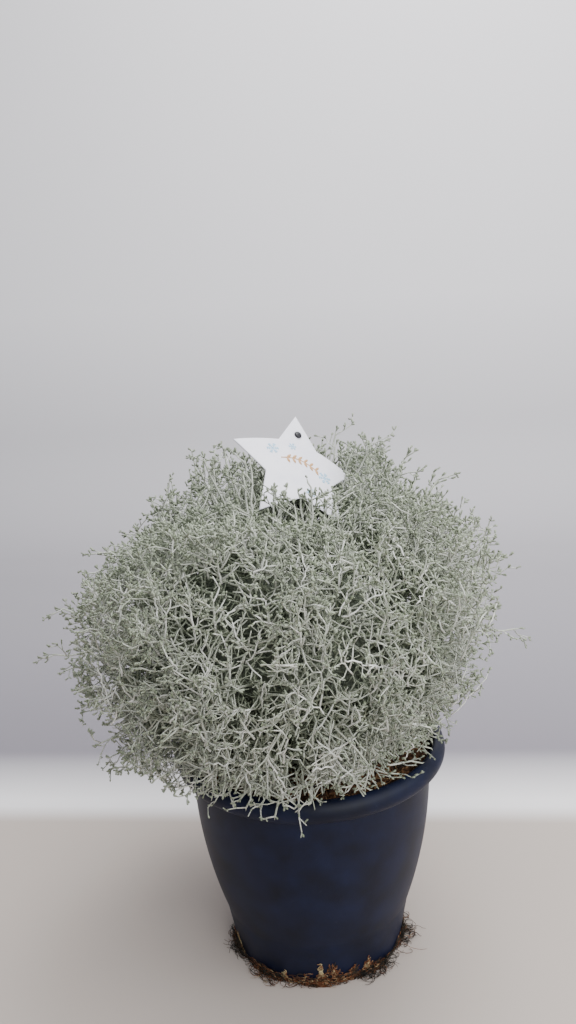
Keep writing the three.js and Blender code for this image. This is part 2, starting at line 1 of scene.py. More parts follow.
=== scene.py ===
# A potted cushion bush: felted, grey-white, wiry sprays in a dark nursery pot, with a star label.
# Sizes are in millimetres in the CAD frame (+Z up, the front towards -Y), and meshes get metres.
import logging
import math
from dataclasses import dataclass, field

import bpy
import numpy as np
from mathutils import Matrix, Vector


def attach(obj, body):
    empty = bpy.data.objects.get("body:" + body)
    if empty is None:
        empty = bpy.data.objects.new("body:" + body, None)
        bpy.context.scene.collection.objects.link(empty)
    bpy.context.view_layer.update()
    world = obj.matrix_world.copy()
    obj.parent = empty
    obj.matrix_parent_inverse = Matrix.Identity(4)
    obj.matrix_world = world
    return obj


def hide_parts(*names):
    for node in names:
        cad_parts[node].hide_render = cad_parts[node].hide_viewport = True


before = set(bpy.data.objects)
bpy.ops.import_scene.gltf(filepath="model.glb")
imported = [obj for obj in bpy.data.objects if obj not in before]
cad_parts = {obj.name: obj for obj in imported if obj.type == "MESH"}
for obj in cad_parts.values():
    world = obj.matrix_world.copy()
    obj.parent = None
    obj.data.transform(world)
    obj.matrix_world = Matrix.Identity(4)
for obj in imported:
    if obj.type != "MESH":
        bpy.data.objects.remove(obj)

LOG = logging.getLogger("cushion_bush")
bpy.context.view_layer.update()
METRES = 0.001
Array = np.ndarray
Socket = bpy.types.NodeSocket
Triple = tuple[float, float, float]


# Small helpers


def colour(code: str) -> tuple[float, float, float, float]:
    """Turns an sRGB hex colour into linear red, green, blue and full alpha.

    Args:
        code: six hex digits, such as "2b3142".

    Returns:
        Four numbers for a colour socket.
    """
    shares = [int(code[i : i + 2], 16) / 255 for i in (0, 2, 4)]
    linear = [s / 12.92 if s <= 0.04045 else ((s + 0.055) / 1.055) ** 2.4 for s in shares]
    return linear[0], linear[1], linear[2], 1.0


def unit(vectors: Array) -> Array:
    """Vectors scaled to length one, along the last axis."""
    return vectors / np.maximum(np.linalg.norm(vectors, axis=-1, keepdims=True), 1e-9)


def towards(turn: Array, tilt: Array) -> Array:
    """Unit vectors at a turn round +Z and a tilt above the level, both in degrees."""
    turn, tilt = np.radians(turn), np.radians(tilt)
    return np.stack([np.cos(tilt) * np.cos(turn), np.cos(tilt) * np.sin(turn), np.sin(tilt)], -1)


def smooth(value: Array, low: float, high: float) -> Array:
    """Rises smoothly from 0 at low to 1 at high: 3x^2 - 2x^3 of the clipped share x."""
    x = np.clip((value - low) / (high - low), 0, 1)
    return x * x * (3 - 2 * x)


def around(count: int) -> Array:
    """Turns at even steps once round, in radians."""
    return np.arange(count) * 2 * math.pi / count


def ringed(radius: Array, turn: Array, height: Array) -> Array:
    """Places round the Z axis, at a radius, a turn in radians and a height."""
    radius, turn, height = np.broadcast_arrays(radius, turn, height)
    return np.stack([radius * np.cos(turn), radius * np.sin(turn), height], -1)


def spline(knots: Array, steps: int) -> Array:
    """Catmull-Rom curve through all the knots, with steps points from each knot to the next."""
    padded = np.concatenate([knots[:1], knots, knots[-1:]])
    t = np.linspace(0, 1, steps, endpoint=False)[:, None]
    rows = []
    for a, b, c, d in zip(padded, padded[1:], padded[2:], padded[3:]):
        square, cube = 2 * a - 5 * b + 4 * c - d, 3 * b - a - 3 * c + d
        rows.append(0.5 * (2 * b + (c - a) * t + square * t**2 + cube * t**3))
    return np.concatenate([*rows, knots[-1:]])


def waves(points: Array, size: float, seed: int, octaves: int = 4) -> Array:
    """Smooth noise in about -1 to 1: sums of sine waves in random directions.

    Args:
        points: places, (..., 3).
        size: length of the longest wave, in millimetres.
        seed: picks the directions and phases.
        octaves: how many times the waves halve.

    Returns:
        One number a place.
    """
    rng = np.random.default_rng(seed)
    total = np.zeros(points.shape[:-1])
    for octave in range(octaves):
        for _ in range(3):
            heading = unit(rng.normal(size=3)) * (2 * math.pi * 2**octave / size)
            total += np.sin(points @ heading + rng.uniform(0, 2 * math.pi)) * 0.6**octave
    return total / 3


# Meshes


@dataclass
class Surface:
    """Corners in millimetres, faces by corner number, and the age that the finish reads there."""

    points: Array
    quads: Array
    triangles: Array
    age: Array

    @staticmethod
    def of(parts: list["Surface"]) -> "Surface":
        """One surface from several, with the face numbers moved along."""
        starts = np.cumsum([0] + [len(p.points) for p in parts[:-1]])
        return Surface(
            np.concatenate([p.points for p in parts]),
            np.concatenate([p.quads + s for p, s in zip(parts, starts)]),
            np.concatenate([p.triangles + s for p, s in zip(parts, starts)]),
            np.concatenate([p.age for p in parts]),
        )

    @staticmethod
    def wrapped(grid: Array, age: Array | float = 1.0) -> "Surface":
        """A grid of places, (rows, columns, 3), whose columns join round."""
        rows, columns = grid.shape[:2]
        faces = grid_faces(rows, columns, True)
        return Surface(grid.reshape(-1, 3), faces, NO_TRIANGLES, np.zeros(rows * columns) + age)


NO_TRIANGLES = np.zeros((0, 3), int)


def place(
    name: str, surface: Surface, finish: "Finish", stands_for: list[str]
) -> bpy.types.Object:
    """Makes a piece from a surface, dresses it and ties it to the frame.

    Args:
        name: the piece's name.
        surface: its mesh in millimetres.
        finish: what it is made of.
        stands_for: the CAD nodes that it replaces.

    Returns:
        The new object.
    """
    mesh = bpy.data.meshes.new(name)
    quads, triangles = surface.quads, surface.triangles
    corners = np.concatenate([quads.ravel(), triangles.ravel()]).astype(np.int32)
    totals = np.concatenate([np.full(len(quads), 4), np.full(len(triangles), 3)]).astype(np.int32)
    mesh.vertices.add(len(surface.points))
    mesh.vertices.foreach_set("co", (surface.points * METRES).astype(np.float32).ravel())
    mesh.loops.add(len(corners))
    mesh.loops.foreach_set("vertex_index", corners)
    mesh.polygons.add(len(totals))
    starts = np.concatenate([[0], np.cumsum(totals)[:-1]]).astype(np.int32)
    mesh.polygons.foreach_set("loop_start", starts)
    mesh.polygons.foreach_set("use_smooth", np.ones(len(totals), bool))
    mesh.update(calc_edges=True)
    age = mesh.attributes.new("age", "FLOAT", "POINT")
    age.data.foreach_set("value", surface.age.astype(np.float32))
    mesh.materials.append(finish.material())
    piece = bpy.data.objects.new(name, mesh)
    bpy.context.scene.collection.objects.link(piece)
    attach(piece, "root")
    if stands_for:
        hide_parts(*stands_for)
    count = 2 * len(quads) + len(triangles)
    LOG.info("%s: %d triangles, %s", name, count, finish.name)
    return piece


def weld(piece: bpy.types.Object, gap: float) -> None:
    """Merges the corners that a pole repeats, when they lie within a gap in millimetres."""
    piece.modifiers.new("poles", "WELD").merge_threshold = gap * METRES


def grid_faces(rows: int, columns: int, closed: bool) -> Array:
    """Quads of a grid of rows by columns, joined round when closed, that face along row x column."""
    across = columns if closed else columns - 1
    i, j = np.meshgrid(np.arange(rows - 1), np.arange(across), indexing="ij")
    right = (j + 1) % columns
    corners = [i * columns + j, i * columns + right, (i + 1) * columns + right, (i + 1) * columns + j]
    return np.stack(corners, -1).reshape(-1, 4)


def tubes(paths: Array, radii: Array, sides: int, age: Array) -> Surface:
    """Round limbs along many paths at once, each closed at its foot and pointed at its tip.

    A ring of corners stands at each point but the last: point + radius * (cos a * n + sin a * b),
    where n is a fixed direction laid square to the path and b is square to both.

    Args:
        paths: (limbs, points, 3).
        radii: (limbs, points); the last isn't used.
        sides: corners of a ring.
        age: (limbs, points).

    Returns:
        All the limbs in one surface.
    """
    limbs, count = paths.shape[:2]
    rings = count - 1
    along = unit(np.gradient(paths, axis=1))[:, :rings]
    whole = unit(paths[:, -1] - paths[:, 0])
    spare = np.where(np.abs(whole[:, 2:]) < 0.8, [[0.0, 0.0, 1.0]], [[1.0, 0.0, 0.0]])
    start = unit(np.cross(whole, spare))[:, None]
    normal = unit(start - (start * along).sum(-1, keepdims=True) * along)
    other = np.cross(along, normal)
    turn = around(sides)
    spokes = np.cos(turn)[:, None] * normal[:, :, None] + np.sin(turn)[:, None] * other[:, :, None]
    ring = paths[:, :rings, None] + radii[:, :rings, None, None] * spokes
    body = ring.reshape(limbs, rings * sides, 3)
    points = np.concatenate([body, paths[:, -1:]], 1)
    ages = np.concatenate([np.repeat(age[:, :rings], sides, 1), age[:, -1:]], 1)
    step = rings * sides + 1
    first = (np.arange(limbs) * step)[:, None, None]
    quads = grid_faces(rings, sides, True)[None] + first
    side = np.arange(sides)
    last = (rings - 1) * sides
    tips = np.stack([last + side, last + (side + 1) % sides, np.full(sides, last + sides)], -1)
    fan = np.stack([np.zeros(sides - 2, int), side[2:], side[1:-1]], -1)
    triangles = np.concatenate([tips, fan])[None] + first
    return Surface(points.reshape(-1, 3), quads.reshape(-1, 4), triangles.reshape(-1, 3), ages.ravel())


# Finishes


def add_node(
    tree: bpy.types.NodeTree,
    kind: str,
    inputs: dict | None = None,
    stops: tuple[tuple[float, str], ...] = (),
    **settings: object,
) -> bpy.types.Node:
    """Adds a node with its settings, its sockets' values or links, and its ramp's stops.

    Args:
        tree: the material's tree.
        kind: the node's type.
        inputs: socket names or numbers, each with a value or the socket that feeds it.
        stops: places and hex colours of a colour ramp.
        **settings: the node's own properties.

    Returns:
        The node.
    """
    node = tree.nodes.new(kind)
    for name, value in settings.items():
        setattr(node, name, value)
    for socket, value in (inputs or {}).items():
        if isinstance(value, bpy.types.NodeSocket):
            tree.links.new(value, node.inputs[socket])
        else:
            node.inputs[socket].default_value = value
    for number, (spot, code) in enumerate(stops):
        ramp = node.color_ramp.elements
        element = ramp[number] if number < 2 else ramp.new(spot)
        element.position = spot
        element.color = colour(code)
    return node


@dataclass
class Recipe:
    """A material in the making: its nodes, its shader, and the place on the object in metres."""

    tree: bpy.types.NodeTree
    shader: bpy.types.Node
    spot: Socket

    def age(self) -> Socket:
        """The age that the mesh carries at its corners."""
        return add_node(self.tree, "ShaderNodeAttribute", attribute_name="age").outputs["Fac"]

    def noise(self, scale: float, detail: float, roughness: float = 0.5) -> Socket:
        """Cloudy noise from 0 to 1, with scale patches in a metre."""
        sockets = {"Vector": self.spot, "Scale": scale, "Detail": detail, "Roughness": roughness}
        return add_node(self.tree, "ShaderNodeTexNoise", sockets).outputs["Fac"]

    def maths(self, operation: str, first: Socket, second: Socket) -> Socket:
        """Two values combined by a math node's operation."""
        sockets = {0: first, 1: second}
        return add_node(self.tree, "ShaderNodeMath", sockets, operation=operation).outputs[0]

    def fitted(self, value: Socket, old: tuple[float, float], new: tuple[float, float]) -> Socket:
        """A value carried from one range to another and held inside it."""
        sockets = {"Value": value, "From Min": old[0], "From Max": old[1]}
        sockets.update({"To Min": new[0], "To Max": new[1]})
        return add_node(self.tree, "ShaderNodeMapRange", sockets).outputs[0]

    def ramp(self, share: Socket, *stops: tuple[float, str]) -> Socket:
        """Colour along a ramp, whose lowest and highest stops come first."""
        return add_node(self.tree, "ShaderNodeValToRGB", {"Fac": share}, stops).outputs[0]

    def over(self, share: Socket, below: Socket, code: str) -> Socket:
        """A plain colour laid over another one by a share."""
        sockets = {"Factor": share, 6: below, 7: colour(code)}
        return add_node(self.tree, "ShaderNodeMix", sockets, data_type="RGBA").outputs[2]

    def paint(self, tone: Socket) -> None:
        """Feeds the shader's base colour."""
        self.tree.links.new(tone, self.shader.inputs["Base Color"])

    def relief(self, height: Socket, strength: float, distance: float) -> None:
        """Raises the surface by a height from 0 to 1 over a distance in metres."""
        sockets = {"Height": height, "Strength": strength, "Distance": distance}
        bump = add_node(self.tree, "ShaderNodeBump", sockets)
        self.tree.links.new(bump.outputs[0], self.shader.inputs["Normal"])


@dataclass(frozen=True)
class Finish:
    """What a surface is made of. Each kind builds its colour and relief in dress()."""

    name: str
    roughness: float = 0.6
    ior: float = 1.5

    def material(self) -> bpy.types.Material:
        """The finish's material, made once and then shared."""
        known = bpy.data.materials.get(self.name)
        if known:
            return known
        made = bpy.data.materials.new(self.name)
        made.use_nodes = True
        tree = made.node_tree
        tree.nodes.clear()
        sockets = {"Roughness": self.roughness, "IOR": self.ior}
        shader = add_node(tree, "ShaderNodeBsdfPrincipled", sockets)
        add_node(tree, "ShaderNodeOutputMaterial", {"Surface": shader.outputs[0]})
        self.dress(Recipe(tree, shader, add_node(tree, "ShaderNodeTexCoord").outputs["Object"]))
        return made

    def dress(self, recipe: Recipe) -> None:
        """Builds the finish's own colour and relief."""
        raise NotImplementedError


@dataclass(frozen=True)
class MouldedPot(Finish):
    """Injection-moulded recycled polypropylene: matt, slate blue, faintly mottled and dusty."""

    dark: str = "070d1f"
    light: str = "0f1834"
    dust: str = "474b5c"

    def dress(self, recipe: Recipe) -> None:
        """Cloudy mottle 25 mm across, fine 1 mm grain, and dust and scuffs in patches."""
        base = recipe.ramp(recipe.noise(40.0, 4.0), (0.3, self.dark), (0.72, self.light))
        marks = recipe.fitted(recipe.noise(130.0, 6.0, 0.7), (0.64, 0.8), (0.0, 0.25))
        recipe.paint(recipe.over(marks, base, self.dust))
        recipe.relief(recipe.noise(1000.0, 3.0), 0.12, 0.0006)


@dataclass(frozen=True)
class FeltedTwig(Finish):
    """Living twigs under white felt: green where young, silver-white where old, and painted shade in dark
    green-grey deep inside the bush.
    """

    deep_shade: str = "3b4338"
    # The first two colours are painted shade, for the cores and the limbs deep in the bush.
    inside: str = "666f5c"
    bud: str = "818b72"
    young: str = "afb6a3"
    old: str = "f8f8f3"
    shade: str = "8f9687"

    def dress(self, recipe: Recipe) -> None:
        """Colour by age, broken up by patches 25 mm and flecks 2 mm across, over felt relief."""
        # Ages below the bud's give painted shade: the cores, and the limbs whose age the bush lowers deep
        # inside.
        ends = (0.0, self.deep_shade), (1.0, self.old)
        tone = recipe.ramp(
            recipe.age(), *ends, (0.12, self.inside), (0.3, self.bud), (0.55, self.young)
        )
        flecks = recipe.maths("MULTIPLY", recipe.noise(40.0, 2.0), recipe.noise(500.0, 2.0))
        amount = recipe.fitted(flecks, (0.2, 0.36), (0.5, 0.0))
        recipe.paint(recipe.over(amount, tone, self.shade))
        recipe.relief(recipe.noise(900.0, 3.0), 0.4, 0.0005)


@dataclass(frozen=True)
class Fibrous(Finish):
    """Moist peat, coco fibre or roots: dark brown crumbs among tan and reddish strands."""

    dark: str = "21160f"
    mid: str = "553824"
    warm: str = "7a5638"
    light: str = "ab8a60"

    def dress(self, recipe: Recipe) -> None:
        """Colour by age and by crumbs 5 mm across, with grit 1 mm across in the relief."""
        crumb = recipe.fitted(recipe.noise(200.0, 5.0, 0.7), (0.3, 0.7), (-0.3, 0.3))
        total = recipe.maths("ADD", recipe.age(), crumb)
        ends = (0.05, self.dark), (1.0, self.light)
        recipe.paint(recipe.ramp(total, *ends, (0.4, self.mid), (0.68, self.warm)))
        recipe.relief(recipe.noise(1000.0, 4.0), 0.6, 0.001)


@dataclass(frozen=True)
class Coated(Finish):
    """Card, ink or smooth plastic of one colour with a faint cloud in it."""

    tint: str = "f7f6fe"
    cloud: str = "ebebf7"

    def dress(self, recipe: Recipe) -> None:
        """A cloud 15 mm across and a paper-like relief 1 mm across."""
        cloud = recipe.noise(65.0, 3.0)
        recipe.paint(recipe.ramp(cloud, (0.35, self.tint), (0.75, self.cloud)))
        recipe.relief(recipe.noise(1000.0, 2.0), 0.05, 0.0003)


@dataclass(frozen=True)
class Backdrop(Finish):
    """Matt paper: a warm grey floor, a pale band of painted highlight behind the plant, then painted shade
    that lightens to pale grey, begun on the floor in front of the wall.
    """

    floor: str = "b3a9a1"
    # A painted highlight: the pale band across the floor behind the plant.
    painted_highlight: str = "e5e3e4"
    # Painted shade: dull, middle and grey darken the paper from the band up, lightening towards pale.
    dull: str = "837f87"
    middle: str = "98959b"
    grey: str = "aca9ae"
    pale: str = "ecebee"
    slant: float = 0.0955  # how much nearer the sweep comes for each metre to the right
    reach: float = 2.0

    def dress(self, recipe: Recipe) -> None:
        """Colour by the way back along the floor plus the way up the wall, over 2 m."""
        sockets = {0: recipe.spot, 1: (self.slant, 1.0, 1.0)}
        way = add_node(recipe.tree, "ShaderNodeVectorMath", sockets, operation="DOT_PRODUCT")
        share = recipe.fitted(way.outputs["Value"], (0.0, self.reach), (0.0, 1.0))
        ends = (0.079, self.floor), (1.0, self.pale)
        # A painted highlight band across the floor.
        highlight_band = (0.094, self.painted_highlight), (0.102, self.painted_highlight)
        # Painted shade, darkest just behind the highlight band and lighter further back and up.
        wall = (0.158, self.dull), (0.36, self.middle), (0.62, self.grey)
        recipe.paint(recipe.ramp(share, *ends, *highlight_band, *wall))


POT_PLASTIC = MouldedPot("moulded polypropylene, slate", roughness=0.5, ior=1.32)
TWIG_FELT = FeltedTwig("felted twigs", roughness=0.9)
COCO_SOIL = Fibrous("moist coco and peat", roughness=0.95)
ROOT_HAIR = Fibrous(
    "fibrous roots", roughness=0.9, dark="14120c", mid="3a2f20", warm="7a4524", light="c4b68c"
)
CARD = Coated("coated label card", roughness=0.45)
BLUE_INK = Coated("pale blue print", roughness=0.5, tint="a9d6f2", cloud="b9def4")
TAN_INK = Coated("tan print", roughness=0.5, tint="c79a6b", cloud="cfa678")
STAKE_PLASTIC = Coated("moulded stake plastic, black", roughness=0.4, tint="15151b", cloud="1d1d25")
STUDIO_PAPER = Backdrop("studio backdrop paper", roughness=0.9)


# Pot


@dataclass
class Pot:
    """The nursery pot: a straight foot, a swelling wall, a rolled rim and drain holes."""

    height: float = 188.0
    base_radius: float = 74.3
    waist_radius: float = 81.6
    waist: float = 40.0
    body_radius: float = 102.3
    belly: float = 2.1
    crease: float = 168.0
    rim_radius: float = 115.3
    rim_z: float = 178.0
    mouth_radius: float = 105.5
    wall: float = 3.0
    floor: float = 3.0
    segments: int = 160
    holes: int = 10
    first_hole: float = 18.0
    hole_size: Triple = (16.0, 15.0, 9.0)
    out_of_round: float = 0.25

    def body(self, z: Array) -> Array:
        """Outer radius of the wall: straight to the waist, then a swell of 1 - (share left)^belly."""
        z = np.asarray(z, float)
        foot = self.base_radius + (self.waist_radius - self.base_radius) * z / self.waist
        left = np.clip(1 - (z - self.waist) / (self.crease - self.waist), 0, 1)
        swell = (self.body_radius - self.waist_radius) * (1 - left**self.belly)
        return np.where(z < self.waist, foot, self.waist_radius + swell)

    def inner(self, z: Array) -> Array:
        """Inner radius of the wall, which flares from below the crease to the mouth."""
        z = np.asarray(z, float)
        body = self.body(np.minimum(z, self.crease)) - self.wall
        share = smooth(z, self.crease - 2, self.height - 3)
        return body + (self.mouth_radius - body) * share

    def profile(self) -> Array:
        """Radius and height of the wall's section, from the base's middle out, up, in and down."""
        low = np.linspace(1.5, self.waist, 16)
        high = np.linspace(self.waist + 3, self.crease, 34)
        # The rolled rim: out from the crease, round its widest place, over the top and in
        knots = np.array(
            [
                (self.body_radius, self.crease),
                (self.rim_radius - 6, self.crease + 2),
                (self.rim_radius - 1.4, self.crease + 5.5),
                (self.rim_radius, self.rim_z),
                (self.rim_radius - 1.2, self.height - 5.1),
                (self.rim_radius - 4, self.height - 1.5),
                (self.rim_radius - 7.2, self.height),
                (self.mouth_radius + 0.4, self.height - 0.8),
                (self.mouth_radius, self.height - 4),
            ]
        )
        rim = spline(knots, 7)[1:]
        inside = np.linspace(self.height - 6, 6, 34)
        rows = [[(0.0, 0.0), (self.base_radius - 8, 0.0), (self.base_radius - 1.5, 0.0)]]
        rows.append(np.stack([self.body(low), low], 1))
        rows.append(np.stack([self.body(high), high], 1))
        rows.append(rim)
        rows.append(np.stack([self.inner(inside), inside], 1))
        rows.append([(float(self.inner(self.floor)) - 2, self.floor), (0.0, self.floor)])
        return np.concatenate([np.asarray(r, float) for r in rows])

    def shell(self) -> Surface:
        """The turned wall. The mould left the body a fraction of a millimetre out of round."""
        profile = self.profile()
        turn = around(self.segments)
        radius = profile[:, :1] + 0 * turn
        flow = self.out_of_round * np.sin(3 * turn + 0.6) * smooth(profile[:, 1:], 20, 100)
        radius = np.where(profile[:, :1] > 1, radius + flow, 0)
        return Surface.wrapped(ringed(radius, turn, profile[:, 1:]))

    def build(self) -> None:
        """Makes the pot and cuts its drain holes through the wall."""
        pot = place("pot_wall", self.shell(), POT_PLASTIC, ["pot"])
        weld(pot, 0.05)
        block = np.array([(x, y, z) for x in (-0.5, 0.5) for y in (-0.5, 0.5) for z in (-0.5, 0.5)])
        faces = np.array([(0, 1, 3, 2), (4, 6, 7, 5), (0, 4, 5, 1), (2, 3, 7, 6), (0, 2, 6, 4), (1, 5, 7, 3)])
        cutters = []
        for hole in range(self.holes):
            turn = math.radians(self.first_hole + 360 / self.holes * hole)
            corner = block * self.hole_size + (self.base_radius, 0, 0)
            cos, sin = math.cos(turn), math.sin(turn)
            spin = np.array([(cos, sin, 0), (-sin, cos, 0), (0, 0, 1)])
            cutters.append(Surface(corner @ spin, faces, NO_TRIANGLES, np.ones(8)))
        tool = place("cutter", Surface.of(cutters), POT_PLASTIC, [])
        cut = pot.modifiers.new("drain holes", "BOOLEAN")
        cut.operation = "DIFFERENCE"
        cut.solver = "EXACT"
        cut.object = tool
        whole = bpy.data.meshes.new_from_object(pot.evaluated_get(bpy.context.evaluated_depsgraph_get()))
        pot.modifiers.clear()
        pot.data = whole
        bpy.data.objects.remove(tool)


# Soil


@dataclass(frozen=True)
class Scatter:
    """Bits that lie on the soil: their number, points each, lengths, radii, lift and ages."""

    count: int
    steps: int
    lengths: tuple[float, float]
    radii: tuple[float, float]
    lift: float
    ages: tuple[float, float]


@dataclass
class Soil:
    """The fibrous filling: a crumbly top, with strands of coco fibre and crumbs lying on it."""

    pot: Pot
    edge_radius: float = 101.5
    edge_z: float = 179.0
    crown_z: float = 183.0
    relief: float = 2.0
    rings: int = 90
    segments: int = 220
    bottom: float = 4.0
    gap: float = 0.8  # between the soil's side and the pot's wall
    side_rows: tuple[float, ...] = (168.0, 150.0, 120.0, 90.0, 60.0, 40.0, 12.0)
    strands: Scatter = Scatter(420, 6, (8, 26), (0.25, 0.5), 0.6, (0.5, 1.1))
    crumbs: Scatter = Scatter(500, 3, (2, 6), (0.7, 1.8), 0.5, (0.0, 1.0))
    strewn: float = 99.0  # radius inside which the litter starts
    litter_edge: float = 101.0

    def top(self, x: Array, y: Array) -> Array:
        """Height of the soil: a low crown plus lumps, crumbs and grit from summed waves."""
        share = np.hypot(x, y) / self.edge_radius
        lumps = np.sin(0.13 * x + 1.2) * np.sin(0.11 * y - 0.5)
        crumbs = np.sin(0.41 * x - 0.29 * y) * np.sin(0.37 * y + 0.2 * x + 0.7)
        flat = np.stack([x, y, 0 * x], -1)
        grit = waves(flat, 9, 3, 4)
        relief = self.relief * (lumps + 0.6 * crumbs + 0.45 * grit)
        return self.crown_z + (self.edge_z - self.crown_z) * share**2 + relief

    def body(self) -> Surface:
        """The top as rings round the axis, closed by a side and a bottom inside the pot."""
        turn = around(self.segments)
        radius = np.linspace(0, self.edge_radius, self.rings)[:, None]
        x, y = radius * np.cos(turn), radius * np.sin(turn)
        rings = [*ringed(radius, turn, self.top(x, y))]
        for z in (*self.side_rows, self.bottom):
            rings.append(ringed(float(self.pot.inner(z)) - self.gap, turn, z))
        rings.append(ringed(0.0, turn, self.bottom))
        rows = np.array(rings)[::-1]
        return Surface.wrapped(rows, 0.35 + 0.3 * waves(rows.reshape(-1, 3), 14, 9, 3))

    def litter(self) -> Surface:
        """Coco strands that lie curled on the top, and short thick crumbs of bark and peat."""
        rng = np.random.default_rng(11)
        parts = []
        for bits in (self.strands, self.crumbs):
            count, steps = bits.count, bits.steps
            radius = self.strewn * np.sqrt(rng.uniform(0, 1, count))
            turn = rng.uniform(0, 2 * math.pi, count)
            x, y = radius * np.cos(turn), radius * np.sin(turn)
            heading = rng.uniform(0, 2 * math.pi, count)
            bend = rng.uniform(-1.6, 1.6, count)
            stride = (rng.uniform(*bits.lengths, count) / (steps - 1))[:, None]
            path = [np.stack([x, y], -1)]
            for step in range(steps - 1):
                way = heading + bend * step / steps
                path.append(path[-1] + stride * np.stack([np.cos(way), np.sin(way)], -1))
            flat = np.stack(path, 1)
            reach = np.linalg.norm(flat, axis=-1, keepdims=True)
            flat = flat * np.minimum(1, self.litter_edge / np.maximum(reach, 1e-6))
            arch = np.sin(np.linspace(0, math.pi, steps))
            rise = bits.lift + rng.uniform(0, 1, (count, 1)) * 1.2 * arch
            z = self.top(flat[..., 0], flat[..., 1]) + rise
            size = rng.uniform(*bits.radii, (count, 1)) + np.zeros(steps)
            age = rng.uniform(*bits.ages, (count, 1)) + np.zeros(steps)
            parts.append(tubes(np.concatenate([flat, z[..., None]], -1), size, 4, age))
        return Surface.of(parts)

    def build(self) -> None:
        """Makes the soil with its litter as one piece."""
        surface = Surface.of([self.body(), self.litter()])
        soil = place("soil_fill", surface, COCO_SOIL, ["soil"])
        weld(soil, 0.02)


# Label


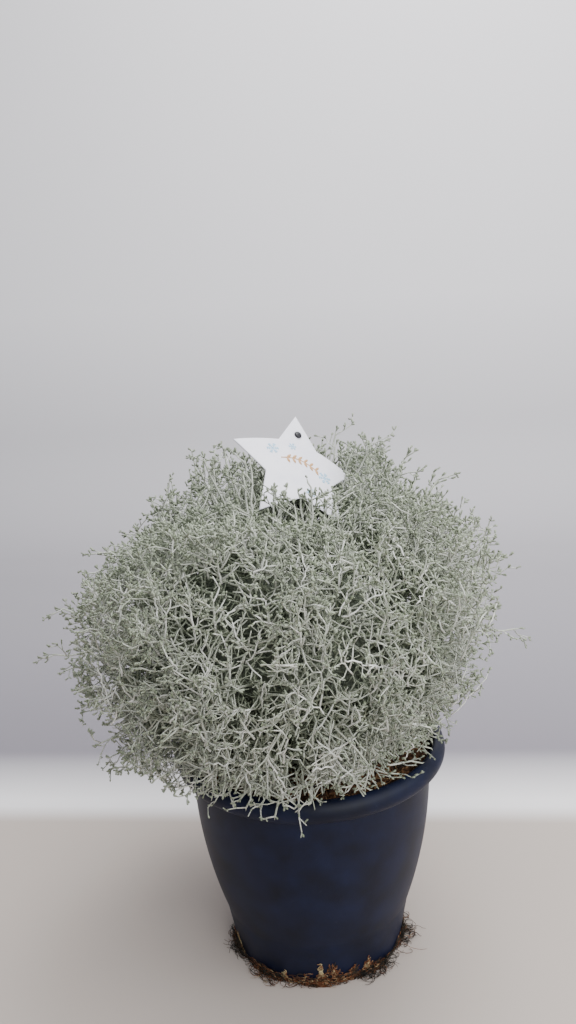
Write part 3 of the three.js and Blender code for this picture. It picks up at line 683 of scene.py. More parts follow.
@dataclass
class Label:
    """A star-shaped card label, curled and leaning, pegged to a dark stake behind it."""

    centre: Triple = (3.4, 10.0, 418.0)
    lean: float = -42.4
    swing: float = 28.6
    roll: float = 39.7
    radius: float = 59.0
    inner: float = 0.53
    thickness: float = 0.8
    columns: int = 200
    curl_radius: float = 142.0
    curl_turn: float = -70.0
    peg_up: float = 36.0
    stake_foot: Triple = (2.0, 4.0, 150.0)
    blade: tuple[float, float] = (2.2, 1.25)  # half the stake's width and depth
    squareness: float = 0.55  # power that squares the round of the stake's section
    ink: float = 0.25  # how proud the print stands
    # Snowflakes: place across and up the sheet, and length of an arm
    flakes: tuple[Triple, ...] = ((-24, 14, 5.2), (23, -3, 6.0), (-6, 21, 3.6), (8, -24, 4.4))
    # The peg along its axis, from behind the sheet to its head: place and radius
    peg: tuple[tuple[float, float], ...] = (
        (-4.4, 1.8),
        (0.4, 1.8),
        (0.8, 3.3),
        (1.4, 3.4),
        (2.2, 2.9),
        (2.6, 1.6),
        (2.7, 0.0),
    )
    frame_turn: Array = field(init=False)

    def __post_init__(self) -> None:
        """Works out the turn from the star's own frame: about Y, then X, then Z."""
        spin = Matrix.Rotation(math.radians(self.roll), 3, "Z")
        spin = spin @ Matrix.Rotation(math.radians(self.lean), 3, "X")
        spin = spin @ Matrix.Rotation(math.radians(self.swing), 3, "Y")
        self.frame_turn = np.array(spin)

    def curl(self, across: Array, up: Array) -> Array:
        """Depth of the sheet behind its flat plane: a circle's sagitta square to the curl's axis."""
        turn = math.radians(self.curl_turn)
        off = -across * math.sin(turn) + up * math.cos(turn)
        return self.curl_radius - np.sqrt(np.maximum(0, self.curl_radius**2 - off**2))

    def onto(self, across: Array, up: Array, lift: Array) -> Array:
        """Places in the CAD frame from places on the sheet; lift is towards the front."""
        local = np.stack([across, self.curl(across, up) - lift, up], -1)
        return local @ self.frame_turn.T + self.centre

    def off_sheet(self, points: Array) -> Array:
        """Distance of points from the sheet, large where they are beside it."""
        local = (points - self.centre) @ self.frame_turn
        away = np.abs(local[..., 1] - self.curl(local[..., 0], local[..., 2]))
        beside = np.hypot(local[..., 0], local[..., 2]) > self.radius + 2
        return np.where(beside, 1e3, away)

    def outline(self, turn: Array) -> Array:
        """Radius of the star's edge, a straight line between each point and each notch."""
        sector = (np.asarray(turn) - math.pi / 2) % (2 * math.pi / 5)
        sector = np.minimum(sector, 2 * math.pi / 5 - sector)
        half = math.pi / 5
        notch = self.radius * self.inner
        corner = np.array([self.radius, 0.0])
        edge = np.array([notch * math.cos(half), notch * math.sin(half)]) - corner
        normal = np.array([edge[1], -edge[0]])
        return normal @ corner / (normal[0] * np.cos(sector) + normal[1] * np.sin(sector))

    def card(self) -> Surface:
        """Rings of the star's outline shrunk to its middle, on both faces and round the edge."""
        turn = around(self.columns) + math.pi / 2
        edge = self.outline(turn)
        shares = np.concatenate([np.linspace(0, 0.97, 26), [1.0]])[:, None]
        across, up = shares * edge * np.cos(turn), shares * edge * np.sin(turn)
        half = self.thickness / 2
        front = self.onto(across, up, half + 0 * across)
        back = self.onto(across, up, -half + 0 * across)[::-1]
        return Surface.wrapped(np.concatenate([front, back]))

    def stroke(self, line: Array, widths: Array) -> Surface:
        """A band of ink along a line on the sheet, a little proud of the front."""
        along = unit(np.gradient(line, axis=0))
        side = np.stack([-along[:, 1], along[:, 0]], -1) * (widths / 2)[:, None]
        left, right = line + side, line - side
        lift = self.thickness / 2 + self.ink
        top = [self.onto(e[:, 0], e[:, 1], np.full(len(line), lift)) for e in (left, right)]
        low = [self.onto(e[:, 0], e[:, 1], np.full(len(line), lift - 0.4)) for e in (right, left)]
        band = Surface.wrapped(np.stack([*top, *low], 1))
        last = 4 * (len(line) - 1)
        ends = np.array([(3, 2, 1, 0), (last, last + 1, last + 2, last + 3)])
        band.quads = np.concatenate([band.quads, ends])
        return band

    def snowflake(self, across: float, up: float, size: float) -> list[Surface]:
        """Six arms, each with two pairs of barbs."""
        bands = []
        for arm in range(6):
            turn = math.radians(60 * arm + 12)
            way = np.array([math.cos(turn), math.sin(turn)])
            middle = np.array([across, up])
            ends = middle + np.linspace(0, 1, 4)[:, None] * way * size
            bands.append(self.stroke(ends, np.full(4, size * 0.14)))
            for share in (0.45, 0.75):
                for bend in (-1, 1):
                    slant = turn + bend * math.radians(52)
                    barb = np.array([math.cos(slant), math.sin(slant)]) * size * 0.3
                    root = middle + way * size * share
                    line = root + np.linspace(0, 1, 3)[:, None] * barb
                    bands.append(self.stroke(line, np.full(3, size * 0.11)))
        return bands

    def sprig(self) -> list[Surface]:
        """A plain curved sprig with paired leaves, where printing would stand."""
        t = np.linspace(0, 1, 14)
        stem = np.stack([-17 + 34 * t, 6 + 4.5 * np.sin(math.pi * t) - 5 * t], -1)
        bands = [self.stroke(stem, np.full(14, 0.9))]
        for number in range(2, 13, 2):
            for side in (-1, 1):
                root = stem[number]
                turn = math.radians(side * 55 - 8)
                way = np.array([math.cos(turn), math.sin(turn)])
                leaf = root + np.linspace(0, 1, 7)[:, None] * way * 5.4
                bands.append(self.stroke(leaf, 0.35 + 1.9 * np.sin(np.linspace(0.1, 3.0, 7))))
        return bands

    def build(self) -> None:
        """Makes the card, its two prints, and the stake with its peg."""
        card = place("label_card", self.card(), CARD, ["label_star"])
        weld(card, 0.05)
        flakes = [band for flake in self.flakes for band in self.snowflake(*flake)]
        place("label_snowflakes", Surface.of(flakes), BLUE_INK, [])
        place("label_sprig", Surface.of(self.sprig()), TAN_INK, [])
        place("stake_and_peg", Surface.of(self.stake()), STAKE_PLASTIC, ["label_stake"])

    def stake(self) -> list[Surface]:
        """A blade of rounded section down to its point in the soil, a peg and the peg's head."""
        peg_back = self.onto(np.array(0.0), np.array(self.peg_up), np.array(-3.5))
        foot = np.array(self.stake_foot)
        up = unit(peg_back - foot)
        side = unit(np.cross(up, [0.0, 1.0, 0.0]))
        deep = np.cross(side, up)
        rows, columns = 24, 16
        share = np.linspace(0, 1, rows)
        turn = around(columns)
        flat = np.stack([np.cos(turn), np.sin(turn)], -1)
        flat = np.sign(flat) * np.abs(flat) ** self.squareness
        width = self.blade[0] * (0.35 + 0.65 * smooth(share, 0, 0.12))
        round_end = np.sqrt(np.maximum(1 - smooth(share, 0.985, 1.0) ** 2, 0.05))
        ring = (
            foot
            + share[:, None, None] * (peg_back - foot)
            + (width * round_end)[:, None, None] * flat[None, :, :1] * side
            + (self.blade[1] * round_end)[:, None, None] * flat[None, :, 1:] * deep
        )
        blade = Surface.wrapped(ring)
        spoke = np.arange(1, columns - 1)
        foot_fan = np.stack([0 * spoke, spoke + 1, spoke], -1)
        top_fan = np.stack([0 * spoke, spoke, spoke + 1], -1) + (rows - 1) * columns
        blade.triangles = np.concatenate([foot_fan, top_fan])
        spots, radii = np.array(self.peg).T
        line = [self.onto(np.array(0.0), np.array(self.peg_up), spot) for spot in spots]
        peg = tubes(np.array([line]), radii[None], columns, np.ones((1, len(line))))
        return [blade, peg]


# Roots


@dataclass
class Roots:
    """Tufts of curly roots that come out of the drain holes and fringe the pot's foot."""

    pot: Pot
    # Drain hole, half-width in degrees, height, reach over the floor, and how rusty, from 0 to 1
    tufts: tuple[tuple[int, float, float, float, float], ...] = (
        (5, 13, 17, 12, 0.1),
        (6, 15, 9, 15, 0.5),
        (7, 20, 15, 4, 0.85),
        (8, 15, 9, 16, 0.15),
        (9, 15, 9, 22, 0.25),
        (1, 11, 8, 20, 0.2),
        (3, 12, 9, 18, 0.2),
    )
    # Patches of roots pressed on the wall: tuft number, turn, top, half-width and age
    patches: tuple[tuple[int, float, float, float, float], ...] = (
        (2, -84, 21, 9, 0.62),
        (2, -91, 23, 3, 0.9),
        (2, -70, 14, 8, 0.5),
        (3, -60, 16, 6, 0.7),
        (0, 205, 19, 4, 0.85),
        (1, 246, 9, 3, 0.9),
    )
    on_wall: int = 150
    on_floor: int = 52
    in_patch: int = 110
    depth: float = 4.0
    steps: int = 10
    loop: tuple[float, float] = (1.5, 5.5)  # radius of a fibre's loops
    winding: tuple[float, float] = (2.0, 6.5)  # how far a fibre goes round, in radians
    drift: float = 5.0
    thinnest: float = 0.16
    thickest: tuple[float, float] = (0.45, 0.34)  # on the wall and on the floor

    def laid(self, turn: Array, along: Array, out: Array, height: Array) -> Array:
        """Places from a turn round the pot, and millimetres along the wall, out from it and up."""
        height = np.maximum(height, 0.7)
        radius = self.pot.body(height) + np.maximum(out, 0.5)
        return ringed(radius, np.radians(turn) + along / radius, height)

    def tuft(self, number: int, hole: int, half: float, height: float, reach: float, rust: float) -> Surface:
        """One tuft: fibres that loop on the wall's foot, and others that loop out over the floor.

        Each fibre is a stretch of a spiral: its middle drifts while it goes round.

        Args:
            number: the tuft's place in the list, which seeds its draws.
            hole: the drain hole's number.
            half: half-width of the tuft, in degrees round the pot.
            height: how far up the wall it climbs.
            reach: how far out over the floor it goes.
            rust: share of rusty fibres.

        Returns:
            Its surface.
        """
        rng = np.random.default_rng(300 + number)
        middle = self.pot.first_hole + 36 * hole
        t = np.linspace(0, 1, self.steps)
        parts = []
        for count, floor in ((self.on_wall, False), (self.on_floor, True)):
            across = np.clip(rng.normal(size=(count, 1)) * 0.55, -1.15, 1.15)
            dome = np.sqrt(np.maximum(0.05, 1 - (across / 1.2) ** 2))
            share = 0.4 + 0.045 * reach if floor else 0.8
            size = rng.uniform(*self.loop, (count, 1)) * share
            first = rng.uniform(0, 2 * math.pi, (count, 1))
            hand = rng.choice([-1, 1], (count, 1))
            swing = first + hand * rng.uniform(*self.winding, (count, 1)) * t
            drift = rng.uniform(-self.drift, self.drift, (count, 1)) * t
            wobble = 0.35 * rng.normal(size=(count, self.steps))
            along = size * np.cos(swing) + drift + wobble
            if floor:
                far = reach * dome * rng.beta(1.1, 2.2, (count, 1))
                out = 1.5 + far * (0.35 + 0.65 * t) + size * np.sin(swing)
                arch = np.abs(np.sin(swing * 0.6)) * (1 - 0.6 * t)
                rise = 0.7 + rng.uniform(0, 4, (count, 1)) * arch
            else:
                off = self.depth * dome * rng.uniform(0, 1, (count, 1)) ** 1.5
                out = off + 0.8 * np.abs(np.sin(swing * 0.7))
                rise = height * dome * rng.beta(1, 2.2, (count, 1)) + 0.7 * size * np.sin(swing)
            thick = rng.uniform(self.thinnest, self.thickest[floor], (count, 1)) * (1 - 0.4 * t)
            rusty = rng.uniform(0, 1, (count, 1)) < rust
            warm = rng.uniform(0.45, 0.75, (count, 1))
            dull = rng.uniform(0, 0.4, (count, 1))
            age = np.where(rusty, warm, dull) + 0 * t
            parts.append(tubes(self.laid(middle + half * across, along, out, rise), thick, 3, age))
        for patch in self.patches:
            if patch[0] == number:
                parts.append(self.patch(rng, *patch[1:]))
        return Surface.of(parts)

    def patch(self, rng: np.random.Generator, turn: float, top: float, half: float, age: float) -> Surface:
        """Short matted fibres pressed against the wall, up to a height, over twice a half-width."""
        count = self.in_patch
        t = np.linspace(0, 1, 4)
        along = rng.normal(size=(count, 1)) * half * 0.5 + rng.normal(size=(count, 4)) * 0.8
        peak = top * np.exp(-((along[:, :1] / half) ** 2))
        rise = peak * rng.uniform(0, 1, (count, 1)) + rng.uniform(-self.drift, self.drift, (count, 1)) * t
        out = 0.4 + rng.uniform(0, 0.6, (count, 1)) + 0 * t
        thick = rng.uniform(0.2, 0.5, (count, 1)) + 0 * t
        ages = age + rng.uniform(-0.15, 0.15, (count, 1)) + 0 * t
        return tubes(self.laid(np.full((count, 1), turn), along, out, rise), thick, 3, ages)

    def build(self) -> None:
        """Makes each tuft over its own CAD node."""
        for number, tuft in enumerate(self.tufts):
            name = f"root_tuft_{number + 1}"
            place(name + "_fibres", self.tuft(number, *tuft), ROOT_HAIR, [name])


# Bush


@dataclass
class Cushion:
    """The space that the bush fills: a swollen ellipsoid, clear of the label, pot and soil."""

    pot: Pot
    soil: Soil
    label: Label
    centre: Array = field(default_factory=lambda: np.array([-13.5, 0.0, 290.0]))
    half_width: float = 176.0
    half_depth: float = 166.0
    rise: float = 147.0
    drop: float = 160.0
    hanging: float = 160.0
    front_hem: float = 30.0  # how much higher the lowest twigs hang in front
    hem_rise: tuple[float, float] = (60, 100)  # how far in front the hem starts and stops to rise
    clearance: float = 2.5  # kept above the soil and the rim, and from the label
    beside_rim: float = 3.0  # kept from the rim's outer edge and from the mouth's
    room_steps: int = 7
    open_way: tuple[float, float] = (-88.0, -26.0)
    open_spread: float = 42.0
    # Bulges and hollows: turn, tilt, share of the radius, spread in degrees
    swells: tuple[tuple[float, float, float, float], ...] = (
        (0, 57, 0.15, 16),
        (4, 44, -0.17, 13),
        (2, 12, 0.09, 13),
        (0, -24, -0.12, 20),
        (-44, -42, -0.16, 22),
        (180, 42, -0.25, 24),
        (182, -22, 0.07, 26),
        (-70, 74, -0.42, 26),
        (60, 30, 0.05, 22),
        (110, -10, -0.05, 22),
        (140, 50, 0.04, 18),
    )

    def skin(self, ways: Array) -> Array:
        """Distance to the skin: the ellipsoid's, times 1 + sum of share * exp(-(angle/spread)^2)."""
        height = np.where(ways[..., 2] > 0, self.rise, self.drop)
        inverse = np.sqrt(
            (ways[..., 0] / self.half_width) ** 2
            + (ways[..., 1] / self.half_depth) ** 2
            + (ways[..., 2] / height) ** 2
        )
        swell = np.ones(ways.shape[:-1])
        for turn, tilt, share, spread in self.swells:
            angle = np.degrees(np.arccos(np.clip(ways @ towards(turn, tilt), -1, 1)))
            swell += share * np.exp(-((angle / spread) ** 2))
        return swell / np.maximum(inverse, 1e-9)

    def share(self, points: Array) -> Array:
        """How far out points lie, as a share of the way to the skin."""
        out = points - self.centre
        distance = np.linalg.norm(out, axis=-1)
        return distance / self.skin(out / np.maximum(distance, 1e-6)[..., None])

    def free(self, points: Array, limit: Array) -> Array:
        """Whether points are inside limit shares of the skin and clear of everything else."""
        radius = np.hypot(points[..., 0], points[..., 1])
        z = points[..., 2]
        over_soil = z > self.soil.top(points[..., 0], points[..., 1]) + self.clearance
        over_rim = z > self.pot.height + self.clearance
        hem = self.hanging + self.front_hem * smooth(-points[..., 1], *self.hem_rise)
        outside = (radius > self.pot.rim_radius + self.beside_rim) & (z > hem)
        clear = np.where(radius < self.pot.mouth_radius - self.beside_rim, over_soil, over_rim)
        off_label = self.label.off_sheet(points) > self.clearance
        return (self.share(points) < limit) & (clear | outside) & off_label

    def openness(self, points: Array) -> Array:
        """How open the bush is: 1 low in front, where old wood shows, down to 0 elsewhere."""
        ways = unit(points - self.centre)
        angle = np.degrees(np.arccos(np.clip(ways @ towards(*self.open_way), -1, 1)))
        return np.exp(-((angle / self.open_spread) ** 2))

    def room(self, starts: Array, ways: Array, lengths: Array, limit: Array) -> Array:
        """Lengths cut where a straight run from each start first leaves the free space."""
        count = self.room_steps
        steps = np.linspace(1 / count, 1, count)
        runs = starts[:, None] + ways[:, None] * (lengths[:, None] * steps)[..., None]
        free = self.free(runs, limit[:, None])
        first = np.where(free.all(1), count, np.argmin(free, axis=1))
        return lengths * first / count


@dataclass(frozen=True)
class Ring:
    """A ring of sprays: their number, turns, tilt, and where their stems stand and bend."""

    name: str
    count: int
    first_turn: float
    tilt: float
    root_radius: float
    elbow: tuple[float, float]


@dataclass(frozen=True)
class Growth:
    """How one order of limb grows, and what it is like at each of its points.

    Lengths are in millimetres, and reach is a share of the way out to the cushion's skin. The
    shape is how far each run turns aside in turn, how the heading wanders, and how it lifts.
    Side shoots stand on the nodes of their parents, at an angle in degrees.
    """

    lengths: tuple[float, float]
    reach: tuple[float, float]
    shortest: float
    shape: tuple[float, float, float]
    radii: tuple[float, ...]
    ages: tuple[float, ...]
    end: float = 0.12  # share of the length that rounds off the tip
    sides: int = 3
    thinned: float = 0.0  # share left out where the cushion is open
    nodes: tuple[int, ...] = ()
    angle: tuple[float, float] = (0, 0)
    outwards: float = 0.0  # how much the headings are drawn to the bush's outside


BRANCH = Growth(
    lengths=(26, 56),
    reach=(0.86, 1.0),
    shortest=12,
    shape=(0.3, 0.08, 0.03),
    radii=(1.0, 0.95, 0.9, 0.82, 0.75, 0.7, 0.62, 0),
    ages=(1.0, 1.0, 0.95, 0.9, 0.85, 0.8, 0.7, 0.6),
    nodes=(3, 4, 5, 6, 7),
    angle=(40, 85),
    outwards=0.15,
)
SHOOT = Growth(
    lengths=(26, 46),
    reach=(1.03, 1.13),
    shortest=16,
    shape=(0.12, 0.06, 0.05),
    radii=(0.85, 0.8, 0.75, 0.7, 0.65, 0.62, 0.6, 0),
    ages=(1.0, 0.95, 0.9, 0.85, 0.75, 0.6, 0.5, 0.4),
    sides=4,
)
TWIG = Growth(
    lengths=(9, 23),
    reach=(0.92, 1.04),
    shortest=4,
    shape=(0.16, 0.08, 0.06),
    radii=(0.64, 0.58, 0.52, 0),
    ages=(0.9, 0.8, 0.7, 0.55),
    nodes=(1, 2, 3, 4, 5, 6),
    angle=(48, 82),
    outwards=0.3,
)
TWIGLET = Growth(
    lengths=(4.5, 10),
    reach=(0.95, 1.06),
    shortest=3,
    shape=(0, 0.1, 0.1),
    radii=(0.5, 0.46, 0),
    ages=(0.75, 0.65, 0.5),
    thinned=0.35,
    nodes=(1, 2),
    angle=(40, 75),
    outwards=0.4,
)
BUD = Growth(
    lengths=(2.8, 5.0),
    reach=(0.9, 1.1),
    shortest=1.5,
    shape=(0, 0.08, 0.15),
    radii=(0.42, 1.0, 0),
    ages=(0.55, 0.38, 0.32),
    end=0.25,
    thinned=0.85,
)
LONG = 8  # points of a long branch that is laid, not grown


@dataclass
class Limbs:
    """Many limbs of one order: their points, thickness and age, and the spray that each is of."""

    paths: Array
    radii: Array
    age: Array
    spray: Array
    sides: int

    def surface(self, spray: int) -> Surface:
        """The limbs of one spray as a surface."""
        mine = self.spray == spray
        return tubes(self.paths[mine], self.radii[mine], self.sides, self.age[mine])


@dataclass
class Bush:
    """Seventeen sprays: dark cores of painted shade, stems, boughs, branches, twigs, twiglets and buds."""

    cushion: Cushion
    rings: tuple[Ring, ...] = (
        Ring("crown", 4, 30, 54, 15, (17, 312)),
        Ring("flank", 6, 30, 17, 37, (43, 272)),
        Ring("skirt", 7, 38.6, -23, 63, (68, 206)),
    )
    head_share: float = 0.6
    stem_foot: float = 160.0
    stem_radii: tuple[float, float] = (3.2, 1.6)
    core_middle: float = 0.55  # share of the way from the cushion's middle to the head
    core_radius: float = 46.0
    core_lumps: float = 10.0
    core_share: float = 0.56  # share of the way to the skin that a core keeps within
    core_floor: float = 198.0
    # age that paints the core in the darkest painted shade
    core_shade: float = -0.05
    spines: int = 200
    spine_lengths: tuple[float, float] = (14, 26)
    spine_radius: float = 0.9
    spine_reach: float = 0.85
    hidden: float = 0.6  # share of the skin inside which no side shoot would be seen
    light: float = 0.92  # share of the skin from which tips carry buds and the painted shade of deep limbs ends
    deep: float = 0.58  # share of the skin inside which limbs get the full painted shade
    thick_spread: tuple[float, float] = (0.85, 1.15)  # how limbs differ in thickness
    age_spread: float = 0.12
    bud_spread: float = 0.6
    bud_foot: tuple[float, float] = (0.4, 3.5)  # how far below the tip a bud sits
    boughs: int = 460
    bough_radii: tuple[float, float] = (1.4, 0.8)
    bough_depth: tuple[float, float] = (0.72, 0.93)
    crook: float = 2.4  # how far a bough zigzags
    runners: int = 510
    runner_depth: tuple[float, float] = (0.8, 0.96)
    runner_arc: tuple[float, float] = (6, 15)  # degrees round the cushion's middle
    uprights: int = 230
    upright_depth: tuple[float, float] = (0.8, 0.92)
    fan: int = 13
    fan_place: Triple = (10, -128, -22)  # from the cushion's middle
    fan_reach: tuple[float, float] = (26, 66)
    sprig_foot: Triple = (0, 12, 52)  # from a sprig's foot to its tip
    sprig_bow: Triple = (0, 7, 24)
    trail_start: tuple[float, float] = (72, 246)  # radius and height inside the bush
    hoop_start: tuple[float, float] = (60, 214)
    hoop_crest: float = 92.0  # radius at which a hoop is highest
    seed: int = 20
    # The furthest tips: turn and tilt in degrees, and distance from the cushion's middle
    long_shoots: tuple[Triple, ...] = (
        (180, -5, 206),
        (176, 5, 197),
        (190, -33, 190),
        (-2, -4, 196),
        (3, 12, 188),
        (-6, 43, 178),
        (6, 52, 174),
        (11, 62, 168),
        (13, 66, 153),
        (44, 64, 160),
        (50, 63, 172),
        (-9, 52, 160),
        (12, 38, 172),
        (163, 72, 159),
        (-166, 67, 159),
        (-153, 78, 147),
        (160, 61, 152),
        (184, 27, 163),
        (92, 8, 178),
        (70, 48, 166),
        (118, 38, 168),
        (-88, 10, 176),
        (-62, -8, 178),
        (-118, -6, 177),
        (-158, -23, 183),
        (-156, -32, 181),
        (-150, -33, 168),
        (-144, -44, 152),
    )
    # Sprigs that stand up in front of the label: x, y and height of their tips
    sprigs: tuple[Triple, ...] = (
        (0, -40, 412),
        (8, -45, 421),
        (-12, -42, 408),
        (-18, -45, 414),
        (11, -42, 405),
        (19, -45, 400),
        (27, -42, 402),
        (-4, -52, 402),
        (-41, -36, 425),
        (-34, -42, 436),
    )
    # Twigs that hang over the rim: turn in degrees, how far out and how low their buds are
    trailing: tuple[Triple, ...] = (
        (-103, 123, 182),
        (-96, 121, 189),
        (-126, 126, 184),
        (-114, 122, 185),
        (-122, 124, 194),
        (-108, 121, 190),
        (-92, 119, 196),
    )
    # Stems that hoop over the soil and lie on the rim: first turn, last turn, crest, last radius
    hoops: tuple[tuple[float, float, float, float], ...] = (
        (-82, -52, 204, 109),
        (-70, -36, 200, 110),
        (-60, -24, 206, 109),
        (-88, -66, 198, 110),
        (-50, -70, 202, 108),
        (-96, -78, 208, 109),
        (-40, -20, 212, 107),
    )
    names: list[str] = field(default_factory=list)
    stems: Array = field(init=False)

    def __post_init__(self) -> None:
        """Works out each stem's line: root in the soil, elbow, and the middle of its head."""
        lines = []
        for ring in self.rings:
            for i in range(ring.count):
                turn = ring.first_turn + 360 / ring.count * i
                way = towards(turn, ring.tilt)
                head = self.cushion.centre + way * self.head_share * self.cushion.skin(way)
                level = towards(turn, 0)
                elbow = level * ring.elbow[0] + (0, 0, ring.elbow[1])
                root = level * ring.root_radius + (0, 0, self.stem_foot)
                lines.append((root, elbow, head))
                self.names.append(f"spray_{ring.name}_{i + 1}")
        self.stems = np.array(lines)

    def nearest(self, points: Array) -> Array:
        """The spray whose stem passes nearest to each point."""
        best = []
        for root, elbow, head in self.stems:
            gaps = []
            for a, b in ((root, elbow), (elbow, head)):
                t = np.clip(((points - a) @ (b - a)) / ((b - a) @ (b - a)), 0, 1)
                gaps.append(np.linalg.norm(points - a - t[:, None] * (b - a), axis=1))
            best.append(np.minimum(*gaps))
        return np.argmin(best, axis=0)

    def limbs(
        self,
        rng: np.random.Generator,
        growth: Growth,
        starts: Array,
        ways: Array,
        spray: Array,
        slack: float = 0.0,
    ) -> Limbs:
        """Grows limbs from starts, cut to the room that they have, and drops those with too little.

        Each run of a path turns to the other side of its heading from the run before.

        Args:
            rng: the random draws.
            growth: the order that grows.
            starts: first points.
            ways: headings.
            spray: each limb's spray.
            slack: added to the share of the skin that they may reach.

        Returns:
            The limbs that have room.
        """
        wanted = rng.uniform(*growth.lengths, len(starts))
        limit = rng.uniform(*growth.reach, len(starts)) + slack
        fitting = self.cushion.room(starts, ways, wanted, limit)
        shown = rng.uniform(0, 1, len(starts)) > growth.thinned * self.cushion.openness(starts)
        kept = (fitting >= growth.shortest) & shown & (self.cushion.share(starts) > self.hidden)
        starts, heading, fitting = starts[kept], ways[kept], fitting[kept]
        zigzag, wander, lift = growth.shape
        runs = len(growth.radii) - 1
        shares = np.append(np.full(runs - 1, (1 - growth.end) / (runs - 1)), growth.end)
        side = unit(np.cross(heading, rng.normal(size=heading.shape)))
        points = [starts]
        for number, share in enumerate(shares):
            heading = unit(heading + wander * rng.normal(size=heading.shape) + (0, 0, lift))
            run = unit(heading + (-1) ** number * zigzag * side)
            points.append(points[-1] + run * (fitting * share)[:, None])
        paths = np.stack(points, 1)
        size = rng.uniform(*self.thick_spread, (len(paths), 1)) * np.array(growth.radii)
        fade = rng.uniform(-self.age_spread, self.age_spread, (len(paths), 1)) + np.array(growth.ages)
        return Limbs(paths, size, fade, spray[kept], growth.sides)

    def side_shoots(
        self,
        rng: np.random.Generator,
        growth: Growth,
        parents: Limbs,
        slack: float = 0.0,
    ) -> Limbs:
        """Side shoots on alternate sides of their parents' bends.

        Args:
            rng: the random draws.
            growth: the order that grows.
            parents: the limbs that carry them.
            slack: added to the share of the skin that they may reach.

        Returns:
            The side shoots that have room.
        """
        starts, ways = [], []
        axis = rng.normal(size=(len(parents.paths), 3))
        for order, node in enumerate(growth.nodes):
            point = parents.paths[:, node]
            after = parents.paths[:, min(node + 1, parents.paths.shape[1] - 1)]
            along = unit(after - parents.paths[:, node - 1])
            spin = axis + 0.6 * rng.normal(size=axis.shape)
            side = unit(np.cross(along, spin)) * (-1) ** order
            side = unit(side + growth.outwards * unit(point - self.cushion.centre))
            bend = np.radians(rng.uniform(*growth.angle, len(point)))[:, None]
            starts.append(point)
            ways.append(unit(np.cos(bend) * along + np.sin(bend) * side))
        spray = np.tile(parents.spray, len(growth.nodes))
        return self.limbs(rng, growth, np.concatenate(starts), np.concatenate(ways), spray, slack)

    def leafage(self, rng: np.random.Generator, branches: Limbs, slack: float = 0.0) -> list[Limbs]:
        """What grows on branches: twigs, their twiglets, and buds where they come to the light."""
        twigs = self.side_shoots(rng, TWIG, branches, slack)
        twiglets = self.side_shoots(rng, TWIGLET, twigs, slack)
        found = [branches, twigs, twiglets]
        for parents, fans in ((twigs, 3), (twiglets, 2), (branches, 3)):
            out = self.cushion.share(parents.paths[:, -1]) > self.light
            tips = np.repeat(parents.paths[out, -1], fans, 0)
            along = unit(parents.paths[out, -1] - parents.paths[out, -3])
            heading = np.repeat(along, fans, 0)
            ways = unit(heading + self.bud_spread * rng.normal(size=heading.shape))
            starts = tips - heading * rng.uniform(*self.bud_foot, (len(tips), 1))
            spray = np.repeat(parents.spray[out], fans)
            found.append(self.limbs(rng, BUD, starts, ways, spray, slack + 0.1))
        return found

    def main_boughs(self, rng: np.random.Generator) -> Limbs:
        """Boughs that leave the stems near their heads and end evenly spread under the skin."""
        number = np.arange(self.boughs)
        tilt = np.degrees(np.arcsin(1 - (2 * number + 1) / self.boughs))
        golden = towards(number * 180 * (3 - math.sqrt(5)), tilt)
        ways = unit(golden + 0.05 * rng.normal(size=(self.boughs, 3)))
        depth = rng.uniform(*self.bough_depth, self.boughs)
        tips = self.cushion.centre + ways * (self.cushion.skin(ways) * depth)[:, None]
        free = self.cushion.free(tips, np.full(self.boughs, 0.97))
        tips, ways = tips[free], ways[free]
        spray = self.nearest(tips)
        elbow, head = self.stems[spray, 1], self.stems[spray, 2]
        share = rng.uniform(0.15, 1.0, (len(tips), 1))
        start = elbow + share * (head - elbow)
        pull = start + 0.45 * (tips - start) + rng.normal(size=tips.shape) * 9 - ways * 10
        count = LONG + 1
        t = np.linspace(0, 1, count)[:, None]
        curve = (1 - t) ** 2 * start[:, None] + 2 * t * (1 - t) * pull[:, None] + t**2 * tips[:, None]
        side = unit(np.cross(ways, rng.normal(size=ways.shape)))
        swing = np.sin(np.pi * t[:, 0]) * (-1.0) ** np.arange(count) * self.crook
        curve = curve + side[:, None] * swing[:, None]
        radii = rng.uniform(0.9, 1.15, (len(tips), 1)) * np.linspace(*self.bough_radii, count)
        ages = np.linspace(1.0, 0.9, count) + np.zeros((len(tips), 1))
        return Limbs(curve, radii, ages, spray, 4)

    def along_skin(self, rng: np.random.Generator) -> Limbs:
        """Old white branches just under the skin: most climb, and the lowest bow down to the rim."""
        ways = unit(rng.normal(size=(self.runners, 3)) + 0.5 * towards(-90, -20))
        climb = np.array([0.0, 0.0, 1.0]) - ways[:, 2:] * ways
        side = unit(climb) * np.where(ways[:, 2:] > -0.35, 1, -1)
        side = side + 0.75 * rng.normal(size=ways.shape)
        side = unit(side - (side * ways).sum(-1, keepdims=True) * ways)
        t = np.linspace(0, 1, LONG)
        arc = np.radians(rng.uniform(*self.runner_arc, self.runners))[:, None, None] * t[:, None]
        turned = np.cos(arc) * ways[:, None] + np.sin(arc) * side[:, None]
        first = rng.uniform(*self.runner_depth, (self.runners, 1))
        depth = first + rng.uniform(-0.05, 0.1, (self.runners, 1)) * t
        paths = self.cushion.centre + turned * (self.cushion.skin(turned) * depth)[..., None]
        paths = paths + rng.normal(size=paths.shape) * 0.9
        paths = paths[self.cushion.free(paths, np.full(LONG, 1.02)).all(1)]
        thick = 0.56 + 0.08 * self.cushion.openness(paths[:, 0])[:, None]
        spread = rng.uniform(*self.thick_spread, (len(paths), 1))
        radii = thick * np.linspace(1.15, 0.8, LONG) * spread
        return Limbs(paths, radii, np.ones(paths.shape[:2]), self.nearest(paths[:, 4]), 4)

